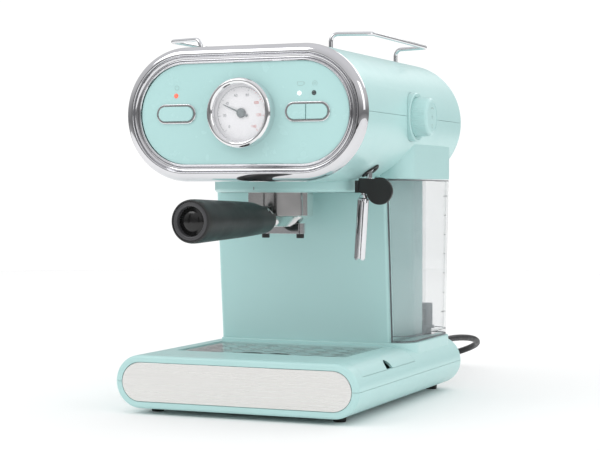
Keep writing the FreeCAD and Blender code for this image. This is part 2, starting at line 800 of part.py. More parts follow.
def gauge_needle():
    c = V(0, 0, panel_centre_z)
    y = dial_y
    hub = lathe([(0, y - 2.4), (3.4, y - 2.4), (4.4, y - 1.6), (4.4, y - 0.4), (1.0, y - 0.4),
                 (1.0, y + 5.0), (0, y + 5.0)], c, Y_AXIS)
    tip = V(needle_length, y - 1.0, 0)
    ring = [V(-7, y - 1.0, -1.1), V(-7, y - 1.0, 1.1), tip + V(0, 0, 0.25), tip - V(0, 0, 0.25)]
    blade = Part.Face(Part.makePolygon(ring + ring[:1])).extrude(V(0, -0.6, 0))
    blade.rotate(V(0, 0, 0), Y_AXIS, -needle_angle)
    blade.translate(c)
    return fuse(hub, blade)


def gauge_lens():
    front = panel_face_y - gauge_stand + 4.25
    return rod(dial_radius, (0, front, panel_centre_z), (0, front + 1.2, panel_centre_z))


# ---- steam side ---------------------------------------------------------
def knob_collar():
    c = V(0, knob_y, head_centre_z)
    x = knob_back_x - 0.2
    points = [(9.2, x - 10.0), (collar_radius, x - 10.0), (collar_radius, x + 1.6),
              (collar_radius - 0.8, x + 2.4), (collar_radius - 1.6, x + 2.4), (knob_radius + 0.3, x + 1.4),
              (knob_radius + 0.3, x - 1.5), (9.2, x - 1.5)]
    return lathe(points, c, X_AXIS)


def steam_knob():
    c = V(0, knob_y, head_centre_z)
    x0, x1 = knob_back_x, knob_front_x
    points = [(0, x0), (knob_radius - 0.2, x0), (knob_radius, x0 + 2.0), (knob_radius - 0.4, x1 - 4.0),
              (knob_radius - 1.8, x1 - 1.2), (knob_radius - 4.2, x1), (0, x1)]
    body = lathe(points, c, X_AXIS)
    bore = rod(3.0, (x0 - 1, knob_y, head_centre_z), (x0 + 8, knob_y, head_centre_z))
    return body.cut(bore)


def valve_spindle():
    return rod(2.95, (valve_port_x + 20.0, knob_y, head_centre_z), (knob_back_x + 7.5, knob_y, head_centre_z))


def steam_valve():
    c = (knob_y, head_centre_z)
    x = valve_port_x
    body = rod(9.0, (x - 10.0, *c), (knob_back_x - 3.0, *c))
    side = rod(4.5, (x, *c), (x, c[0] - 22, c[1]))
    inlet = rod(4.5, (x, *c), (x, c[0] + 18, c[1]))
    bore = rod(3.0, (x + 16.0, *c), (knob_back_x, *c))
    return fuse(body, side, inlet).cut(bore)


def wand_socket():
    """Slanted black grommet that the wand swings in."""
    y, z = group_y, wand_pivot_z
    lip = rod(9.0, (wand_x, y, z - 5.0), (wand_x, y, z + 8.0))
    skin = head_block(-1.6, y - 12, y + 12).cut(head_block(-gap, y - 13, y + 13))
    collar = lip.common(skin)
    inside = rod(6.7, (wand_x, y, z - 20.0), (wand_x, y, z + 10.0))
    inside = inside.common(head_block(-1.6, y - 12, y + 12))
    slot = box(wand_x - 3.6, wand_x + 30, y - 3.6, y + 3.6, z - 30, z - 0.5)
    swing = cone(3.3, 6.0, (wand_x, y, z), (wand_x, y, z - 22.0))
    ball = Part.makeSphere(ball_radius + 0.1, V(wand_x, y, z))
    pivot = rod(trunnion_radius + 0.1, (wand_x, y - 8, z), (wand_x, y + 8, z))
    return fuse(inside, collar).cut(slot).cut(swing).cut(ball).cut(pivot)


def wand_line(z):
    t = (z - (sleeve_top_z - sleeve_length)) / sleeve_length
    return sleeve_foot_x + t * (sleeve_head_x - sleeve_foot_x)


def wand_route():
    y = group_y
    return [(wand_x, y, wand_pivot_z + 2.0), (wand_x, y, wand_elbow_z), (wand_line(206.0), y, 207.5),
            (wand_line(160.0), y, 160.0)]


def wand_pipe():
    y = group_y
    points = wand_route()
    outer, _ = pipe(points, wand_pipe_radius, 6.0)
    ball = Part.makeSphere(ball_radius, V(wand_x, y, wand_pivot_z))
    pivot = rod(trunnion_radius, (wand_x, y - 6.3, wand_pivot_z), (wand_x, y + 6.3, wand_pivot_z))
    body = fuse(ball, pivot, outer)
    inner, _ = pipe([(wand_x, y, wand_pivot_z + 6.0)] + points[1:-1] + [(wand_line(158.0), y, 158.0)],
                    1.4, 6.0)
    return body.cut(inner)


def wand_grip():
    """Flat moulding on the pipe with a round thumb disc to push it by."""
    y = group_y
    t = 4.0
    disc = rod(thumb_disc_radius, (thumb_disc_x, y - t, thumb_disc_z),
               (thumb_disc_x, y - t + thumb_disc_thickness, thumb_disc_z))
    disc = round_edges(disc, 0.6, in_plane_y(y - t))
    neck_points = [(-9.4, 221.6), (1.5, 221.2), (9.0, 219.0), (5.0, 203.0), (-2.0, 206.6), (-9.6, 208.0)]
    ring = [V(wand_x + x, y - t, z) for x, z in neck_points]
    neck = Part.Face(Part.makePolygon(ring + ring[:1])).extrude(V(0, 2 * t, 0))
    flange = box(wand_x - 12.6, wand_x - 9.1, y - t - 1.5, y + t + 1.5, 207.7, 219.3)
    grip = fuse(disc, neck, flange)
    hole, _ = pipe(wand_route(), wand_pipe_radius + running, 6.0)
    return grip.cut(hole)


def froth_sleeve():
    """Tube with a groove down its front and back, so that it looks like two lobes."""
    y = group_y
    top = V(wand_line(sleeve_top_z), y, sleeve_top_z - 0.6)
    foot = V(wand_line(sleeve_top_z - sleeve_length), y, sleeve_top_z - sleeve_length)
    along = (foot - top)
    length = along.Length
    axis = along.normalize()
    r = sleeve_radius
    bore = wand_pipe_radius + gap
    points = [(bore, 0), (r - 2.0, 0), (r - 1.2, 2.6), (r - 0.1, 3.4), (r + 0.1, 5.0),
              (r - 0.1, length - 1.6), (r - 1.0, length), (r - 2.0, length), (r - 2.0, 44.0), (bore, 42.0)]
    side = Y_AXIS.cross(axis)
    ring = [top + side * a + axis * h for a, h in points]
    body = Part.Face(Part.makePolygon(ring + ring[:1])).revolve(top, axis, 360)
    face_angle = math.radians(20.6)
    out = (side * -math.sin(face_angle) - Y_AXIS * math.cos(face_angle)).normalize()
    for way in (-1, 1):
        line = out * (way * (r + 0.45))
        body = body.cut(rod(1.3, tuple(top + line + axis * 6.0), tuple(top + line + axis * (length + 1))))
    notch = rod(1.5, tuple(foot + out * 9), tuple(foot - out * 9))
    return body.cut(notch)


# ---- brew group ---------------------------------------------------------
def group_axis(z):
    return (0, group_y, z)


def group_lathe(points):
    return lathe(points, V(0, group_y, 0), Z_AXIS)


def lug_sector(reach, half_angle, turn, z0, z1):
    """Two opposite wedges, centred at right angles to the handle."""
    wedges = []
    for base in (0, 180):
        mid = base + turn
        a0, a1 = math.radians(mid - half_angle), math.radians(mid + half_angle)
        far = reach * 1.6
        pts = [V(0, group_y, z0),
               V(far * math.cos(a0), group_y + far * math.sin(a0), z0),
               V(far * math.cos(a1), group_y + far * math.sin(a1), z0)]
        wedge = Part.Face(Part.makePolygon(pts + pts[:1])).extrude(V(0, 0, z1 - z0))
        wedges.append(wedge.common(rod(reach, group_axis(z0), group_axis(z1))))
    return wedges


def brew_group():
    points = [(bowl_radius + gap + 0.6, flange_z0), (group_radius, flange_z0), (group_radius, group_top_z),
              (2.5, group_top_z), (2.5, 222.4), (6.0, 222.4), (6.0, group_block_z),
              (collar_bore, group_block_z),
              (collar_bore, flange_z1), (bowl_radius + gap + 0.6, flange_z1)]
    body = group_lathe(points)
    entry = lug_sector(lug_reach + 0.5, 24.0, -handle_turn - 45.0, flange_z0 - 1, flange_z1 + 1)
    return body.cut(entry)


def group_gasket():
    outer = collar_bore - 0.1
    return group_lathe([(28.9, bowl_rim_z + 1.2), (outer, bowl_rim_z + 1.2), (outer, group_block_z - 0.02),
                        (28.9, group_block_z - 0.02)])


def shower_screen():
    disc = group_lathe([(0, 220.4), (27.2, 220.4), (27.2, 222.3), (0, 222.3)])
    holes = []
    for ring, count in ((6, 6), (11, 12), (16, 18), (21, 24)):
        for k in range(count):
            a = 2 * math.pi * k / count
            x, y = ring * math.cos(a), group_y + ring * math.sin(a)
            holes.append(rod(0.8, (x, y, 219), (x, y, 224)))
    return disc.cut(holes)


def handle_dir():
    a = math.radians(handle_turn)
    return V(-math.sin(a), -math.cos(a), 0)


def handle_side():
    h = handle_dir()
    return V(-h.y, h.x, 0)


def along_handle(distance, lift=0.0):
    """Point on the handle's axis at a plan distance from the brew axis."""
    t = (distance - handle_neck) / (handle_reach - handle_neck)
    p = handle_dir() * distance
    return V(p.x, group_y + p.y, handle_neck_z + t * (handle_end_z - handle_neck_z) + lift)


def portafilter_bowl():
    r, w = bowl_radius, bowl_wall
    z = bowl_bottom_z
    points = [(r, bowl_rim_z), (r, z + 0.8), (r - 0.8, z), (14.0, z - 9.6), (5.0, z - 10.2), (3.0, z - 10.2),
              (3.0, z - 6.6), (13.0, z - 6.0), (r - w - 0.4, z + 2.4), (r - w, z + 4.0), (r - w, bowl_rim_z)]
    bowl = group_lathe(points)
    lugs = lug_sector(lug_reach, 18.0, -handle_turn, flange_z1 + 0.4, flange_z1 + 3.0)
    core = rod(r - 0.5, group_axis(0), group_axis(400))
    lugs = [lug.cut(core) for lug in lugs]
    well = group_lathe([(0, z - 6.6), (3.0, z - 6.6), (13.0, z - 6.0), (r - w - 0.4, z + 2.4),
                        (r - w, z + 4.0), (r - w, bowl_rim_z + 1), (0, bowl_rim_z + 1)])
    boss = rod(9.0, tuple(along_handle(handle_neck - 13.0)), tuple(along_handle(handle_neck)))
    stud = rod(4.0, tuple(along_handle(handle_neck - 1)), tuple(along_handle(handle_neck + 45)))
    return fuse(bowl, *lugs, boss.cut(well), stud)


def filter_basket():
    r = bowl_radius - bowl_wall - gap
    t = 0.8
    z0, z1 = 196.0, bowl_rim_z
    points = [(0, z0), (r - 3.0, z0), (r, z0 + 4.0), (r, z1 + 0.02), (bowl_radius - 0.4, z1 + 0.02),
              (bowl_radius - 0.4, z1 + t), (r - t, z1 + t), (r - t, z0 + 4.4), (r - 3.4, z0 + t), (0, z0 + t)]
    return group_lathe(points)


def across_handle(offset, z):
    """Point on the line through the brew axis at right angles to the handle."""
    p = handle_side() * offset
    return (p.x, group_y + p.y, z)


def spout_places():
    return (spout_shift - spout_offset, spout_shift + spout_offset)


def spout():
    """Twin outlet: a bar shaped to the bowl's underside, open below at each end."""
    w = spout_half_width
    bar = plan_block(spout_shift - spout_offset - w, spout_shift + spout_offset + w, -w, w, w - 0.05,
                     w - 0.05, spout_bottom_z, spout_bottom_z + spout_height)
    bar.rotate(V(0, 0, 0), Z_AXIS, -handle_turn)
    bar.translate(V(0, group_y, 0))
    z = bowl_bottom_z - gap / 3
    under = group_lathe([(0, z + 5), (bowl_radius, z + 5), (bowl_radius, z), (14.0, z - 9.6),
                         (5.0, z - 10.2), (0, z - 10.2)])
    mid_z = spout_bottom_z + 3.4
    ends = spout_places()
    body = bar.cut(under)
    for x in ends:
        body = body.cut(rod(spout_bore, across_handle(x, spout_bottom_z - 1), across_handle(x, mid_z + 2.4)))
    body = body.cut(rod(spout_bore - 0.7, across_handle(ends[0], mid_z), across_handle(ends[1], mid_z)))
    return body.cut(rod(spout_bore - 0.3, across_handle(0, mid_z), across_handle(0, bowl_bottom_z)))


def spout_tips():
    tips = []
    top = spout_bottom_z - 0.05
    for x in spout_places():
        points = [(2.4, spout_tip_z), (3.5, spout_tip_z), (3.8, spout_tip_z + 0.6), (3.8, top), (2.4, top)]
        tips.append(lathe(points, V(*across_handle(x, 0)), Z_AXIS))
    return Part.makeCompound(tips)


def handle_prism(points, half_width):
    """Prism across the handle; points are (distance from the brew axis, lift above the handle's axis)."""
    side = handle_side()
    ring = [along_handle(d, lift) - side * half_width for d, lift in points]
    return Part.Face(Part.makePolygon(ring + ring[:1])).extrude(side * (2 * half_width))


def portafilter_handle():
    """Stout grip with a stepped nose, where the retainer's tab sits in a slot."""
    neck, end = along_handle(handle_neck + gap), along_handle(handle_reach)
    axis = end - neck
    length = axis.Length
    axis.normalize()
    side = axis.cross(Z_AXIS).normalize()
    outline = [(11.0, 0.0), (12.6, 1.0), (13.8, 3.2), (14.4, 8.0), (15.4, 24.0), (16.2, 38.0), (17.3, 66.0),
               (18.2, 95.0), (18.9, 116.0), (19.4, 130.0), (19.6, length - 6.0), (19.2, length - 2.0),
               (18.4, length)]
    hollow = [(cap_radius + 0.1, length), (cap_radius + 0.1, length - cap_length - 0.2),
              (0, length - cap_length - 0.2)]
    ring = [neck + side * r + axis * h for r, h in [(0, 0.0)] + outline + hollow]
    body = Part.Face(Part.makePolygon(ring + ring[:1])).revolve(neck, axis, 360)
    bore = rod(4.1, tuple(along_handle(handle_neck - 1)), tuple(along_handle(handle_neck + 46)))
    floor = lever_floor_lift
    d = handle_neck
    shoulder = handle_prism([(d - 13.0, 11.8), (d + 24.0, 11.8), (d + 36.0, 16.6), (d + 36.0, 40.0),
                             (d - 13.0, 40.0)], 30.0)
    nose = handle_prism([(d - 13.0, floor), (d + 14.5, floor), (d + 14.5, 40.0), (d - 13.0, 40.0)], 30.0)
    slot = handle_prism([(d + 10.0, floor), (d + 31.0, floor), (d + 31.0, 40.0), (d + 10.0, 40.0)],
                        lever_width / 2 + 0.7)
    pin_hole = rod(lever_pin_radius + running, *lever_pin_ends(14.0))
    return body.cut(bore).cut(shoulder).cut(nose).cut(slot).cut(pin_hole)


def lever_pin_ends(reach):
    side = handle_side()
    p = along_handle(lever_pin_at, lever_lift)
    return tuple(p - side * reach), tuple(p + side * reach)


def lever_pin():
    return rod(lever_pin_radius, *lever_pin_ends(12.4))


def thumb_lever():
    """Basket retainer: a tab that lies back along the handle and flips up on its pin."""
    h = handle_dir()
    side = handle_side()
    p = along_handle(lever_pin_at, lever_lift)
    outline = [(-2.9, -1.2), (-2.9, 1.6), (-1.6, 2.9), (3.0, 3.4), (12.6, 2.6), (13.0, 0.8), (4.4, -0.8),
               (2.0, -2.9), (-1.2, -2.9)]
    ring = [p - side * (lever_width / 2) + h * a + Z_AXIS * b for a, b in outline]
    tab = Part.Face(Part.makePolygon(ring + ring[:1])).extrude(side * lever_width)
    return tab.cut(rod(lever_pin_radius + running, *lever_pin_ends(12.0)))


def handle_end_cap():
    end, inside = along_handle(handle_reach), along_handle(handle_reach - cap_length)
    axis = (end - inside).normalize()
    side = axis.cross(Z_AXIS).normalize()
    n = cap_length
    profile = [(0, 0.3), (cap_radius, 0.3), (cap_radius, n - 1.2), (16.4, n - 0.2), (14.2, n - 0.1),
               (13.2, n - 0.8), (13.0, n - 4.2), (8.6, n - 3.4), (0, n - 2.6)]
    ring = [inside + side * r + axis * h for r, h in profile]
    face = Part.Face(Part.makePolygon(ring + ring[:1]))
    return face.revolve(inside, axis, 360)


# ---- works --------------------------------------------------------------
def boiler_lower():
    return group_lathe([(0, group_top_z + 0.05), (40.0, group_top_z + 0.05), (40.0, 262.0), (46.0, 262.0),
                        (46.0, 265.0), (36.0, 265.0), (36.0, 243.0), (0, 243.0)])


def boiler_upper():
    return group_lathe([(36.0, 265.1), (46.0, 265.1), (46.0, 268.0), (40.0, 268.0), (40.0, 288.0),
                        (34.0, 296.0),
                        (0, 296.0), (0, 292.5), (32.0, 292.5), (36.0, 286.0)])


def pump():
    coil = box(-22, 22, pump_y - 20, pump_y + 20, pump_z - 18, pump_z + 18)
    tube = rod(9.0, (-50, pump_y, pump_z), (48, pump_y, pump_z))
    nozzle = rod(4.0, (-64, pump_y, pump_z), (-50, pump_y, pump_z))
    outlet = rod(4.0, (48, pump_y, pump_z), (60, pump_y, pump_z))
    return fuse(coil, tube, nozzle, outlet)


def pump_bracket():
    """Folded sheet on the deck, with an ear at each end that holds the pump's tube."""
    z0, half_depth = pad_z + 0.05, 26.0
    foot = box(-50, 50, pump_y - half_depth, pump_y + half_depth, z0, z0 + 2)
    ears = []
    for x in (-38.0, 36.0):
        ear = box(x - 1.5, x + 1.5, pump_y - half_depth, pump_y + half_depth, z0, pump_z + 16)
        ears.append(ear.cut(rod(9.05, (x - 6, pump_y, pump_z), (x + 6, pump_y, pump_z))))
    return fuse(foot, *ears)


def water_hoses():
    dock_z = valve_base_z - valve_drop - gap - 22
    suction = hose([(outlet_x, outlet_y, dock_z - 0.1), (outlet_x, outlet_y, 20.0), (-30, 100, 20.0),
                    (-78, 82.0, 40.0), (-78, pump_y, pump_z), (-64.1, pump_y, pump_z)], 4.0, 2.5, 6.0)
    feed = hose([(60.1, pump_y, pump_z), (74, pump_y, pump_z), (74, 60, 200), (30, 50, 262),
                 (30, 30, 310), (0, group_y + 10, 310), (0, group_y, 310), (0, group_y, 296.1)],
                3.0, 1.8, 5.0)
    steam = hose([(valve_port_x, knob_y + 18.1, head_centre_z),
                  (valve_port_x, 40, head_centre_z), (60, 44, 318),
                  (-14, group_y + 30, 318), (-14, group_y + 24, 296.5)], 2.5, 1.5, 5.0)
    return Part.makeCompound([suction, feed, steam])


# ---- mains lead ---------------------------------------------------------
def strain_relief():
    y = base_back_y
    points = [(0, y - 6.0), (7.4, y - 6.0), (7.4, y - 3.2), (5.9, y - 3.2), (5.9, y + 0.3), (7.4, y + 0.3),
              (7.4, y + 2.6), (6.4, y + 3.4), (4.3, y + relief_length), (0, y + relief_length)]
    body = lathe(points, V(lead_x, 0, lead_z), Y_AXIS)
    grooves = []
    for k in range(4):
        y0 = y + 8.0 + 4.6 * k
        ring = rod(10, (lead_x, y0, lead_z), (lead_x, y0 + 1.4, lead_z))
        core = rod(4.0 + 0.12 * (4 - k), (lead_x, y0 - 1, lead_z), (lead_x, y0 + 3, lead_z))
        grooves.append(ring.cut(core))
    return body.cut(grooves)


cord_route = [
    (lead_x, base_back_y + relief_length + 0.1, lead_z),
    (86.5, 218.0, 46.0),
    (90.0, 258.0, 44.5),
    (93.5, 298.0, 40.0),
    (88.0, 334.0, 31.0),
    (64.0, 358.0, 20.0),
    (30.0, 362.0, 10.0),
    (-2.0, 352.0, 4.4),
    (-34.0, 330.0, 3.6),
    (-59.5, 300.0, 3.6),
    (-75.5, 272.3, 3.6),
]
coil_centre = V(-37.0, 250.0, 0)


def mains_cord():
    solid, used = pipe(cord_route, cord_diameter / 2)
    print("cord arc radii", used)
    return solid


def cord_coil():
    r0 = cord_coil_radius - cord_diameter * cord_coil_turns / 2
    r1 = cord_coil_radius + cord_diameter * cord_coil_turns / 2
    points = [(r0 + 1.5, 0.05), (r1 - 1.5, 0.05), (r1, 1.6), (r1, 5.6), (r1 - 1.5, 7.1),
              (r0 + 1.5, 7.1), (r0, 5.6), (r0, 1.6)]
    return lathe(points, coil_centre, Z_AXIS)


def mains_plug():
    """Round two-pin plug lying on its side with its tail at the coil."""
    points = [(0, 0), (4.6, 0), (5.6, 10), (9.0, 22), (15.0, 26), (18.0, 30), (18.4, 58), (17.4, 62),
              (0, 62)]
    body = lathe(points, V(0, 0, 0), X_AXIS)
    pins = [rod(2.4, (61, 0, z), (81, 0, z)) for z in (-9.5, 9.5)]
    body = fuse(body, *pins)
    body.rotate(V(0, 0, 0), X_AXIS, 90)
    body.rotate(V(0, 0, 0), Y_AXIS, -9.0)
    body.translate(V(coil_centre.x + 26.0, coil_centre.y - cord_coil_radius - 3.5, 0))
    body.translate(V(0, 0, 0.05 - body.BoundBox.ZMin))
    return body


NODES = {
    "base_pan": base_pan,
    "base_top_cover": base_top_cover,
    "front_plate": front_plate,
    "rubber_feet": rubber_feet,
    "drip_tray": drip_tray,
    "drip_grille": drip_grille,
    "column_front": column_front,
    "column_back": column_back,
    "water_tank": water_tank,
    "tank_valve_body": tank_valve_body,
    "tank_valve_poppet": tank_valve_poppet,
    "tank_valve_spring": tank_valve_spring,
    "tank_dock": tank_dock,
    "dock_seal": dock_seal,
    "head_lower_shell": head_lower_shell,
    "head_upper_shell": head_upper_shell,
    "cup_plate": cup_plate,
    "cup_rail_left": lambda: cup_rail(-1),
    "cup_rail_right": lambda: cup_rail(1),
    "bezel_ring": bezel_ring,
    "control_panel": control_panel,
    "indicator_lights": indicator_lights,
    "power_button_surround": lambda: button_surround(power_button_x, power_button_width),
    "twin_button_surround": lambda: button_surround(twin_button_x, twin_button_width),
    "power_button": power_button,
    "brew_button": brew_button,
    "steam_button": steam_button,
    "control_board": control_board,
    "gauge_ring": gauge_ring,
    "gauge_dial": gauge_dial,
    "gauge_needle": gauge_needle,
    "gauge_lens": gauge_lens,
    "knob_collar": knob_collar,
    "steam_knob": steam_knob,
    "valve_spindle": valve_spindle,
    "steam_valve": steam_valve,
    "wand_socket": wand_socket,
    "wand_pipe": wand_pipe,
    "wand_grip": wand_grip,
    "froth_sleeve": froth_sleeve,
    "brew_group": brew_group,
    "group_gasket": group_gasket,
    "shower_screen": shower_screen,
    "portafilter_bowl": portafilter_bowl,
    "filter_basket": filter_basket,
    "spout": spout,
    "spout_tips": spout_tips,
    "portafilter_handle": portafilter_handle,
    "handle_end_cap": handle_end_cap,
    "thumb_lever": thumb_lever,
    "lever_pin": lever_pin,
    "boiler_lower": boiler_lower,
    "boiler_upper": boiler_upper,
    "pump": pump,
    "pump_bracket": pump_bracket,
    "water_hoses": water_hoses,
    "strain_relief": strain_relief,
    "mains_cord": mains_cord,
    "cord_coil": cord_coil,
    "mains_plug": mains_plug,
}

os.makedirs("parts", exist_ok=True)
for name, make in NODES.items():
    shape = make()
    shape.exportStep("parts/" + name + ".step")
    b = shape.BoundBox
    print("%-22s solids %d valid %s volume %9.1f" % (name, len(shape.Solids), shape.isValid(), shape.Volume),
          " x %7.1f %7.1f  y %7.1f %7.1f  z %7.1f %7.1f" % (b.XMin, b.XMax, b.YMin, b.YMax, b.ZMin, b.ZMax))
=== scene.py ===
import math

import bmesh
import bpy
from mathutils import Matrix, Vector


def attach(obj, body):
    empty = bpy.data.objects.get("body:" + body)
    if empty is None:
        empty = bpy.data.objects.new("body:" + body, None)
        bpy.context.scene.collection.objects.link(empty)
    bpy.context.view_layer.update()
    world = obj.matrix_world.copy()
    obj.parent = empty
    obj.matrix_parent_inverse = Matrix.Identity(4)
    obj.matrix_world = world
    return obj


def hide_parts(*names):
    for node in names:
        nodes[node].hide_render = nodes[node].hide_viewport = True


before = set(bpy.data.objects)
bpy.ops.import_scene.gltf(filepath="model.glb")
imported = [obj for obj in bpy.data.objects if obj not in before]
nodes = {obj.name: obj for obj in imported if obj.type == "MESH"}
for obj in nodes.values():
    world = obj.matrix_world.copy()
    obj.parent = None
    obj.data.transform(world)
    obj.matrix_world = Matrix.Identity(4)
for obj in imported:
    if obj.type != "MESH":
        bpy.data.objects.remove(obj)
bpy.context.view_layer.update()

scene = bpy.context.scene
MM = 0.001


# ---- camera --------------------------------------------------------------
camera_data = bpy.data.cameras.new("camera")
camera_data.lens = 96.34
camera_data.sensor_width = 36.0
camera_data.clip_start = 0.05
camera_data.clip_end = 100.0
camera_data.dof.use_dof = False
camera = bpy.data.objects.new("camera", camera_data)
camera.location = (0.6230, -1.4790, 0.2089)
camera.rotation_euler = (math.radians(90.0 - 1.2), 0.0, math.radians(22.8))
scene.collection.objects.link(camera)
scene.camera = camera


# ---- small helpers -------------------------------------------------------
def link(name, data):
    piece = bpy.data.objects.new(name, data)
    scene.collection.objects.link(piece)
    return piece


def mesh_piece(name, vertices, faces, sharp=35.0):
    """A mesh given in millimetres in the object's frame, smooth except at sharp corners."""
    data = bpy.data.meshes.new(name)
    data.from_pydata([tuple(c * MM for c in v) for v in vertices], [], faces)
    data.update()
    mesh = bmesh.new()
    mesh.from_mesh(data)
    bmesh.ops.remove_doubles(mesh, verts=mesh.verts, dist=1e-7)
    bmesh.ops.recalc_face_normals(mesh, faces=mesh.faces)
    mesh.to_mesh(data)
    mesh.free()
    data.polygons.foreach_set("use_smooth", [True] * len(data.polygons))
    data.set_sharp_from_angle(angle=math.radians(sharp))
    return link(name, data)


def softened(points, steps):
    """Catmull-Rom curve through points; a point given twice in a row stays a corner."""
    out = []
    count = len(points)
    for i in range(count - 1):
        p1, p2 = points[i], points[i + 1]
        if p1 == p2:
            continue
        p0 = points[i - 1] if i > 0 else p1
        p3 = points[i + 2] if i + 2 < count else p2
        for k in range(steps):
            t = k / steps
            out.append(tuple(
                0.5 * (2 * b + (c - a) * t + (2 * a - 5 * b + 4 * c - d) * t * t
                       + (3 * b - a - 3 * c + d) * t ** 3)
                for a, b, c, d in zip(p0, p1, p2, p3)))
    out.append(tuple(points[-1]))
    return out


def lathe(profile, turns, closed=False):
    """Vertices and faces of (radius, height) points turned about +Z."""
    vertices, faces = [], []
    n = len(profile)
    for k in range(turns):
        a = 2 * math.pi * k / turns
        vertices += [(r * math.cos(a), r * math.sin(a), h) for r, h in profile]
    for k in range(turns):
        here, there = k * n, (k + 1) % turns * n
        for i in range(n if closed else n - 1):
            j = (i + 1) % n
            faces.append([here + i, there + i, there + j, here + j])
    return vertices, faces


def placed(vertices, matrix):
    return [tuple(matrix @ Vector(v)) for v in vertices]


def axis_matrix(origin, axis):
    """Turns +Z into an axis that is not upright and sets the origin, in millimetres."""
    z = Vector(axis).normalized()
    up = Vector((0, 0, 1))
    x = up - z * up.dot(z)
    x.normalize()
    y = z.cross(x)
    return Matrix.Translation(Vector(origin)) @ Matrix((x, y, z)).transposed().to_4x4()


def finish_piece(piece, body, stands_for, material):
    """Sets what a piece rides on, the nodes it stands for and its material."""
    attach(piece, body)
    if stands_for:
        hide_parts(*stands_for)
    piece.data.materials.clear()
    piece.data.materials.append(material)


# ---- materials -----------------------------------------------------------
class Look:
    """One procedural material: colour variation, roughness variation and fine relief."""

    def __init__(self, name):
        self.material = bpy.data.materials.new(name)
        self.material.use_nodes = True
        self.tree = self.material.node_tree
        self.shader = self.tree.nodes["Principled BSDF"]
        self.coords = self.tree.nodes.new("ShaderNodeTexCoord")
        self.normal = None

    def set(self, **values):
        names = {"metallic": "Metallic", "roughness": "Roughness", "specular": "Specular IOR Level",
                 "coat": "Coat Weight", "coat_roughness": "Coat Roughness",
                 "glow": "Emission Strength", "glow_colour": "Emission Color"}
        for key, value in values.items():
            if key == "glow_colour":
                value = (*value, 1.0)
            self.shader.inputs[names[key]].default_value = value
        return self

    def mapped(self, stretch=(1, 1, 1)):
        mapping = self.tree.nodes.new("ShaderNodeMapping")
        mapping.inputs["Scale"].default_value = stretch
        self.tree.links.new(self.coords.outputs["Object"], mapping.inputs["Vector"])
        return mapping.outputs["Vector"]

    def noise(self, scale, detail=3.0, stretch=(1, 1, 1), roughness=0.5):
        node = self.tree.nodes.new("ShaderNodeTexNoise")
        node.inputs["Scale"].default_value = scale
        node.inputs["Detail"].default_value = detail
        node.inputs["Roughness"].default_value = roughness
        self.tree.links.new(self.mapped(stretch), node.inputs["Vector"])
        return node.outputs["Fac"]

    def ramp(self, source, low, high, low_at=0.35, high_at=0.65):
        node = self.tree.nodes.new("ShaderNodeMapRange")
        node.inputs["From Min"].default_value = low_at
        node.inputs["From Max"].default_value = high_at
        node.inputs["To Min"].default_value = low
        node.inputs["To Max"].default_value = high
        self.tree.links.new(source, node.inputs["Value"])
        return node.outputs["Result"]

    def colours(self, source, low, high, low_at=0.35, high_at=0.65):
        node = self.tree.nodes.new("ShaderNodeMix")
        node.data_type = "RGBA"
        node.inputs["A"].default_value = (*low, 1.0)
        node.inputs["B"].default_value = (*high, 1.0)
        self.tree.links.new(self.ramp(source, 0.0, 1.0, low_at, high_at), node.inputs["Factor"])
        self.tree.links.new(node.outputs["Result"], self.shader.inputs["Base Color"])
        return self

    def rough(self, source, low, high):
        self.tree.links.new(self.ramp(source, low, high), self.shader.inputs["Roughness"])
        return self

    def soft_edges(self, radius):
        node = self.tree.nodes.new("ShaderNodeBevel")
        node.samples = 4
        node.inputs["Radius"].default_value = radius
        self._normal(node.outputs["Normal"])
        return self

    def relief(self, source, height, strength=1.0):
        node = self.tree.nodes.new("ShaderNodeBump")
        node.inputs["Strength"].default_value = strength
        node.inputs["Distance"].default_value = height
        self.tree.links.new(source, node.inputs["Height"])
        if self.normal is not None:
            self.tree.links.new(self.normal, node.inputs["Normal"])
        self._normal(node.outputs["Normal"])
        return self

    def _normal(self, output):
        self.normal = output
        self.tree.links.new(output, self.shader.inputs["Normal"])


def moulded(name, low, high, rough, grain=0.00001, edge=0.0006):
    """Injection-moulded plastic: slight flow marks, fine grain and eased corners."""
    look = Look(name).set(specular=0.5)
    look.colours(look.noise(9.0, 2.0), low, high)
    look.rough(look.noise(60.0, 4.0), *rough)
    if edge:
        look.soft_edges(edge)
    look.relief(look.noise(2600.0, 2.0), grain)
    return look.material


def plated(name, low, high, rough=(0.03, 0.09), edge=0.0003):
    """Bright plating with a trace of orange peel and wipe marks."""
    look = Look(name).set(metallic=1.0)
    look.colours(look.noise(14.0, 2.0), low, high)
    look.rough(look.noise(35.0, 5.0), *rough)
    if edge:
        look.soft_edges(edge)
    look.relief(look.noise(420.0, 1.0), 0.000004, 0.5)
    return look.material


def brushed(name, low, high, stretch, rough=(0.24, 0.38)):
    """Sheet steel with a brushed grain along one direction."""
    look = Look(name).set(metallic=1.0)
    grain = look.noise(1.0, 6.0, stretch, 0.7)
    look.colours(grain, low, high, 0.3, 0.7)
    look.rough(grain, *rough)
    look.soft_edges(0.0003)
    look.relief(grain, 0.00001)
    return look.material


def cast(name, low, high):
    """Cast aluminium: matt, slightly pitted."""
    look = Look(name).set(metallic=0.85)
    look.colours(look.noise(120.0, 5.0), low, high)
    look.rough(look.noise(300.0, 4.0), 0.38, 0.6)
    look.soft_edges(0.0005)
    look.relief(look.noise(700.0, 5.0), 0.00006)
    return look.material


def rubbery(name, low, high, rough=(0.5, 0.7), grain=0.00003):
    """Rubber or silicone, matt and finely grained."""
    look = Look(name).set(specular=0.35)
    look.colours(look.noise(80.0, 3.0), low, high)
    look.rough(look.noise(200.0, 3.0), *rough)
    look.relief(look.noise(1500.0, 3.0), grain)
    return look.material


